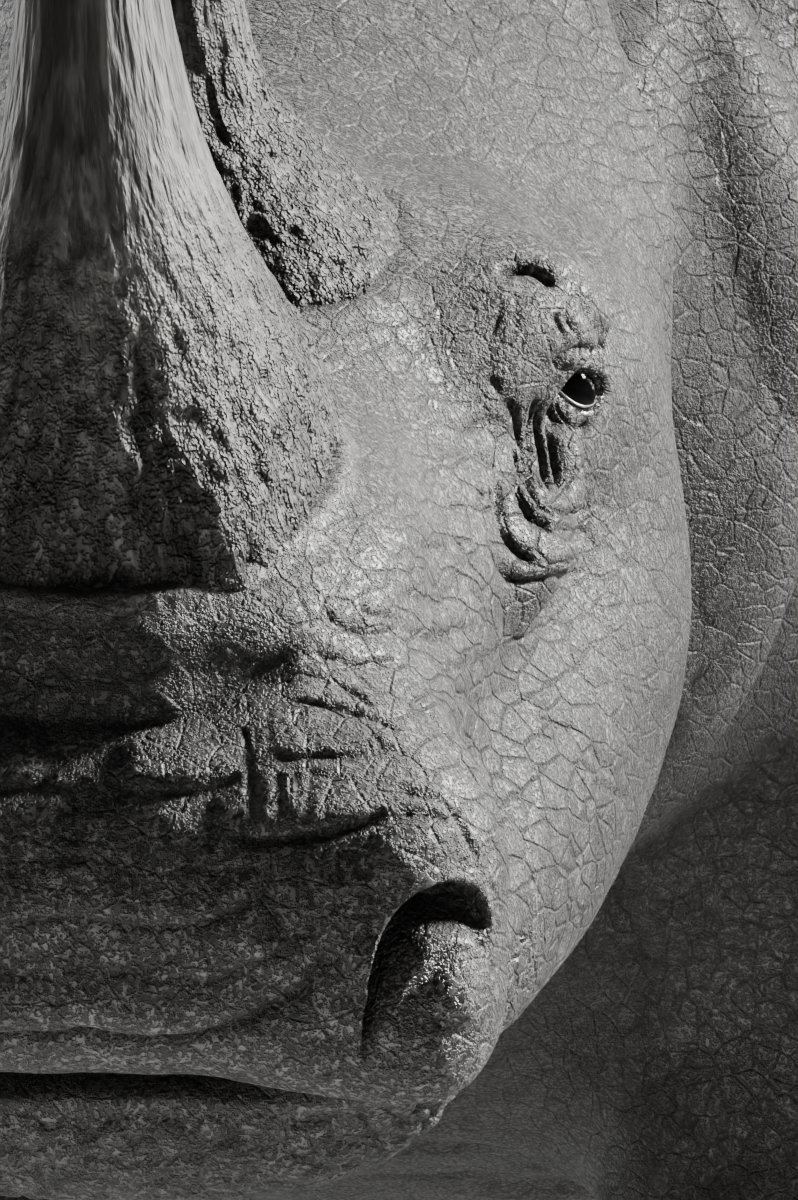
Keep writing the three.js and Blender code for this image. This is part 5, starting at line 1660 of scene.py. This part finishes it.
def make_fringe(hand):
    """The fringe of hair along an ear's rim, longest at its tip."""
    rng = np.random.default_rng(8 if hand > 0 else 9)
    count = FRINGE
    share = np.clip(1 - np.abs(rng.normal(0, 0.3, count)), 0.18, 0.995)
    edge = np.where(rng.random(count) < 0.5, -1.0, 1.0) * (1 - 0.06 * rng.random(count))
    half_width, roll, thickness = curves_through(EAR_ROWS)(share)
    angle = edge * half_width / roll
    radius = roll - thickness * rng.random(count)
    back = EAR["bend"] * share**2 - roll * EAR["seat"]
    height = share * EAR["length"] - EAR["sunk"]
    roots = np.stack([np.sin(angle) * radius, np.cos(angle) * radius + back, height], 1)
    outward = np.stack([np.cos(angle) * np.sign(edge), -np.sin(np.abs(angle)), np.zeros(count)], 1)
    tip = smooth(share, 0.75, 1.0)[:, None]
    drift = rng.normal(0, 0.16, (count, 3))
    ways = unit(outward * (1 - 0.55 * tip) + np.array([0, 0, 1]) * (0.35 + 0.9 * tip) + drift)
    lengths = rng.uniform(10, 20, count) + 22 * tip[:, 0] * rng.random(count)
    lines = hanging(roots, ways, lengths, np.array([0.0, -0.12, 0.12]), curl=0.1)
    widths = rng.uniform(0.00035, 0.0006, count)
    return make_hair(left_or_right("ear_fringe", hand), carried(lines * MM, ear_matrix(hand)), widths)


def make_tuft():
    """The bristles on both edges of the tail's end."""
    rng = np.random.default_rng(12)
    count = BRISTLES
    share = np.clip(1 - np.abs(rng.normal(0, 0.1, count)), 0.72, 1)
    forward, side, height, deep, wide = TAIL(share)
    turn = np.where(rng.random(count) < 0.5, 0, np.pi) + rng.normal(0, 0.55, count)
    x, y = np.cos(turn) * wide * 0.9, np.sin(turn) * deep * 0.9
    middle = np.stack([side * MM, (ORIGIN_FORWARD - forward) * MM, height * MM], 1)
    roots = middle + np.stack([x, y, 0 * x], 1) * MM
    down = np.stack([0.4 * np.cos(turn), 0.3 * np.sin(turn), np.full(count, -1.0)], 1)
    ways = unit(down + rng.normal(0, 0.07, (count, 3)))
    lengths = rng.uniform(0.09, 0.17, count)
    lines = hanging(roots, ways, lengths, np.array([0.0, 0.0, -0.12]), curl=0.07)
    return make_hair("tail_bristles", lines, rng.uniform(0.0006, 0.0011, count))


# --- the scene -------------------------------------------------------------------------------------------

CAMERA = {"place": (0.4222, -4.2717, 0.5583), "yaw": -0.1101, "pitch": 0.1349, "roll": 0.0203, "focal": 5849.1}
IMAGE_HEIGHT = 1200
SENSOR = 36
# Each light: its place, what it is aimed at, its size, its power and how far it spreads, in degrees.
LIGHTS = {
    "key": ((4.5, -0.5, 4.0), (0.3, -1.7, 0.95), 1.2, 52, 27),
    "flank": ((5.0, 3.4, 3.4), (0, 1.7, 0.7), 2.4, 120, 84),
    "far flank": ((-5.0, 3.4, 3.4), (0, 1.7, 0.7), 2.4, 90, 84),
    "top": ((0.3, 1.8, 7.0), (0, 1.6, 0), 6.0, 260, 120),
}


def make_camera():
    """A long lens near the ground, ahead of the animal's face and a little to its left."""
    yaw, pitch, roll = (CAMERA[key] for key in ("yaw", "pitch", "roll"))
    ahead = Vector((math.sin(yaw) * math.cos(pitch), math.cos(yaw) * math.cos(pitch), math.sin(pitch)))
    right = ahead.cross(Vector((0, 0, 1))).normalized()
    up = right.cross(ahead)
    turned_right = right * math.cos(roll) + up * math.sin(roll)
    turned_up = up * math.cos(roll) - right * math.sin(roll)
    turn = Matrix((turned_right, turned_up, -ahead)).transposed()
    camera = bpy.data.cameras.new("camera")
    camera.sensor_fit = "VERTICAL"
    camera.sensor_height = SENSOR
    camera.lens = CAMERA["focal"] * SENSOR / IMAGE_HEIGHT
    camera.clip_end = 100
    thing = bpy.data.objects.new("camera", camera)
    bpy.context.scene.collection.objects.link(thing)
    thing.matrix_world = Matrix.Translation(CAMERA["place"]) @ turn.to_4x4()
    bpy.context.scene.camera = thing


def make_light(name, place, target, size, power, spread):
    light = bpy.data.lights.new(name, "AREA")
    light.shape = "DISK"
    light.size = size
    light.energy = power
    light.spread = math.radians(spread)
    thing = bpy.data.objects.new(name, light)
    bpy.context.scene.collection.objects.link(thing)
    thing.location = place
    thing.rotation_euler = (Vector(target) - Vector(place)).to_track_quat("-Z", "Y").to_euler()


class RhinoLooks(bpy.types.PropertyGroup):
    hide_tone: bpy.props.FloatProperty(
        name="Hide tone",
        description="How light the hide is",
        default=0.085,
        min=0.02,
        max=0.9,
        subtype="FACTOR",
    )
    horn_tone: bpy.props.FloatProperty(
        name="Horn tone",
        description="How light the horns are",
        default=0.06,
        min=0.02,
        max=0.9,
        subtype="FACTOR",
    )
    floor_tone: bpy.props.FloatProperty(
        name="Floor tone", description="How pale the floor is", default=0.62, min=0.1, max=1, subtype="FACTOR"
    )


class RHINO_OT_stage(bpy.types.Operator):
    """Lay the floor and set the lights and the camera"""

    bl_idname = "rhino.stage"
    bl_label = "Stage"

    def execute(self, context):
        looks = context.scene.rhino_looks
        bm = bmesh.new()
        bmesh.ops.create_grid(bm, x_segments=1, y_segments=1, size=60)
        floor = new_object("floor", mesh_from(bm, "floor"))
        floor.data.materials.append(floor_material(looks.floor_tone))
        world = bpy.data.worlds.new("studio")
        world.use_nodes = True
        world.node_tree.nodes["Background"].inputs["Color"].default_value = (0.8, 0.82, 0.85, 1)
        world.node_tree.nodes["Background"].inputs["Strength"].default_value = 0.09
        context.scene.world = world
        for name, row in LIGHTS.items():
            make_light(name, *row)
        make_camera()
        return {"FINISHED"}


class RHINO_OT_skin(bpy.types.Operator):
    """Grow the skin over the flesh"""

    bl_idname = "rhino.skin"
    bl_label = "Skin"

    def execute(self, context):
        mesh = grow_skin()
        move, marks = skin_relief(points_of(mesh), normals_of(mesh))
        rims = np.minimum(1, 1.6 * marks.pop("rim"))
        move_points(mesh, relax(points_of(mesh) + move, edges_of(mesh), 4, 0.5, rims))
        for name, values in marks.items():
            mark(mesh, name, values)
        shade_smooth(mesh)
        material = hide_material(context.scene.rhino_looks.hide_tone)
        flesh = ["head", "neck", "torso", "tail"]
        flesh += [f"{leg}_{part}" for leg in LEGS for part in ("leg", "foot")]
        for skin in skin_pieces(mesh):
            finish_piece(skin, "skin", material)
            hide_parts(*flesh)
        for hand, name in ((1, "ear_left"), (-1, "ear_right")):
            ear = make_ear(hand)
            finish_piece(ear, "skin", material)
            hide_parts(name)
        return {"FINISHED"}


class RHINO_OT_horns(bpy.types.Operator):
    """Raise the two horns"""

    bl_idname = "rhino.horns"
    bl_label = "Horns"

    def execute(self, context):
        material = horn_material(context.scene.rhino_looks.horn_tone)
        for name, horn in HORNS.items():
            piece = make_horn(name, horn)
            finish_piece(piece, "horn", material)
            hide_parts(name)
        return {"FINISHED"}


class RHINO_OT_eyes(bpy.types.Operator):
    """Set the eyes"""

    bl_idname = "rhino.eyes"
    bl_label = "Eyes"

    def execute(self, context):
        material = eye_material()
        # the tear line's pale colour is a painted highlight
        wet = tear_highlight_material(0.3)
        for hand, name in ((1, "eye_left"), (-1, "eye_right")):
            finish_piece(make_tear_highlight(hand), "eye", wet)
            piece = make_eye(hand)
            finish_piece(piece, "eye", material)
            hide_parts(name)
        return {"FINISHED"}


class RHINO_OT_nails(bpy.types.Operator):
    """Fit the nails to the toes"""

    bl_idname = "rhino.nails"
    bl_label = "Nails"

    def execute(self, context):
        material = nail_material(0.07)
        for leg in LEGS:
            for number, piece in enumerate(make_nails(leg)):
                finish_piece(piece, "nail", material)
                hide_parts(f"{leg}_nail_{number + 1}")
        return {"FINISHED"}


class RHINO_OT_hair(bpy.types.Operator):
    """Grow the lashes, the ear fringes and the tail's tuft"""

    bl_idname = "rhino.hair"
    bl_label = "Hair"

    def execute(self, context):
        material = hair_material(0.03)
        for hand in (1, -1):
            for piece in (make_lashes(hand), make_fringe(hand)):
                finish_piece(piece, None, material)
        finish_piece(make_tuft(), None, material)
        return {"FINISHED"}


class RHINO_PT_panel(bpy.types.Panel):
    bl_label = "Rhinoceros"
    bl_idname = "RHINO_PT_panel"
    bl_space_type = "VIEW_3D"
    bl_region_type = "UI"
    bl_category = "Rhinoceros"

    def draw(self, context):
        looks = context.scene.rhino_looks
        for name in ("hide_tone", "horn_tone", "floor_tone"):
            self.layout.prop(looks, name)
        for operator in OPERATORS:
            self.layout.operator(operator.bl_idname)


OPERATORS = (RHINO_OT_stage, RHINO_OT_skin, RHINO_OT_horns, RHINO_OT_eyes, RHINO_OT_nails, RHINO_OT_hair)
CLASSES = (RhinoLooks, *OPERATORS, RHINO_PT_panel)


def register():
    for cls in CLASSES:
        bpy.utils.register_class(cls)
    bpy.types.Scene.rhino_looks = bpy.props.PointerProperty(type=RhinoLooks)


def unregister():
    del bpy.types.Scene.rhino_looks
    for cls in reversed(CLASSES):
        bpy.utils.unregister_class(cls)


def main():
    register()
    for piece in ("stage", "skin", "horns", "eyes", "nails", "hair"):
        getattr(bpy.ops.rhino, piece)()


if __name__ == "__main__":
    main()
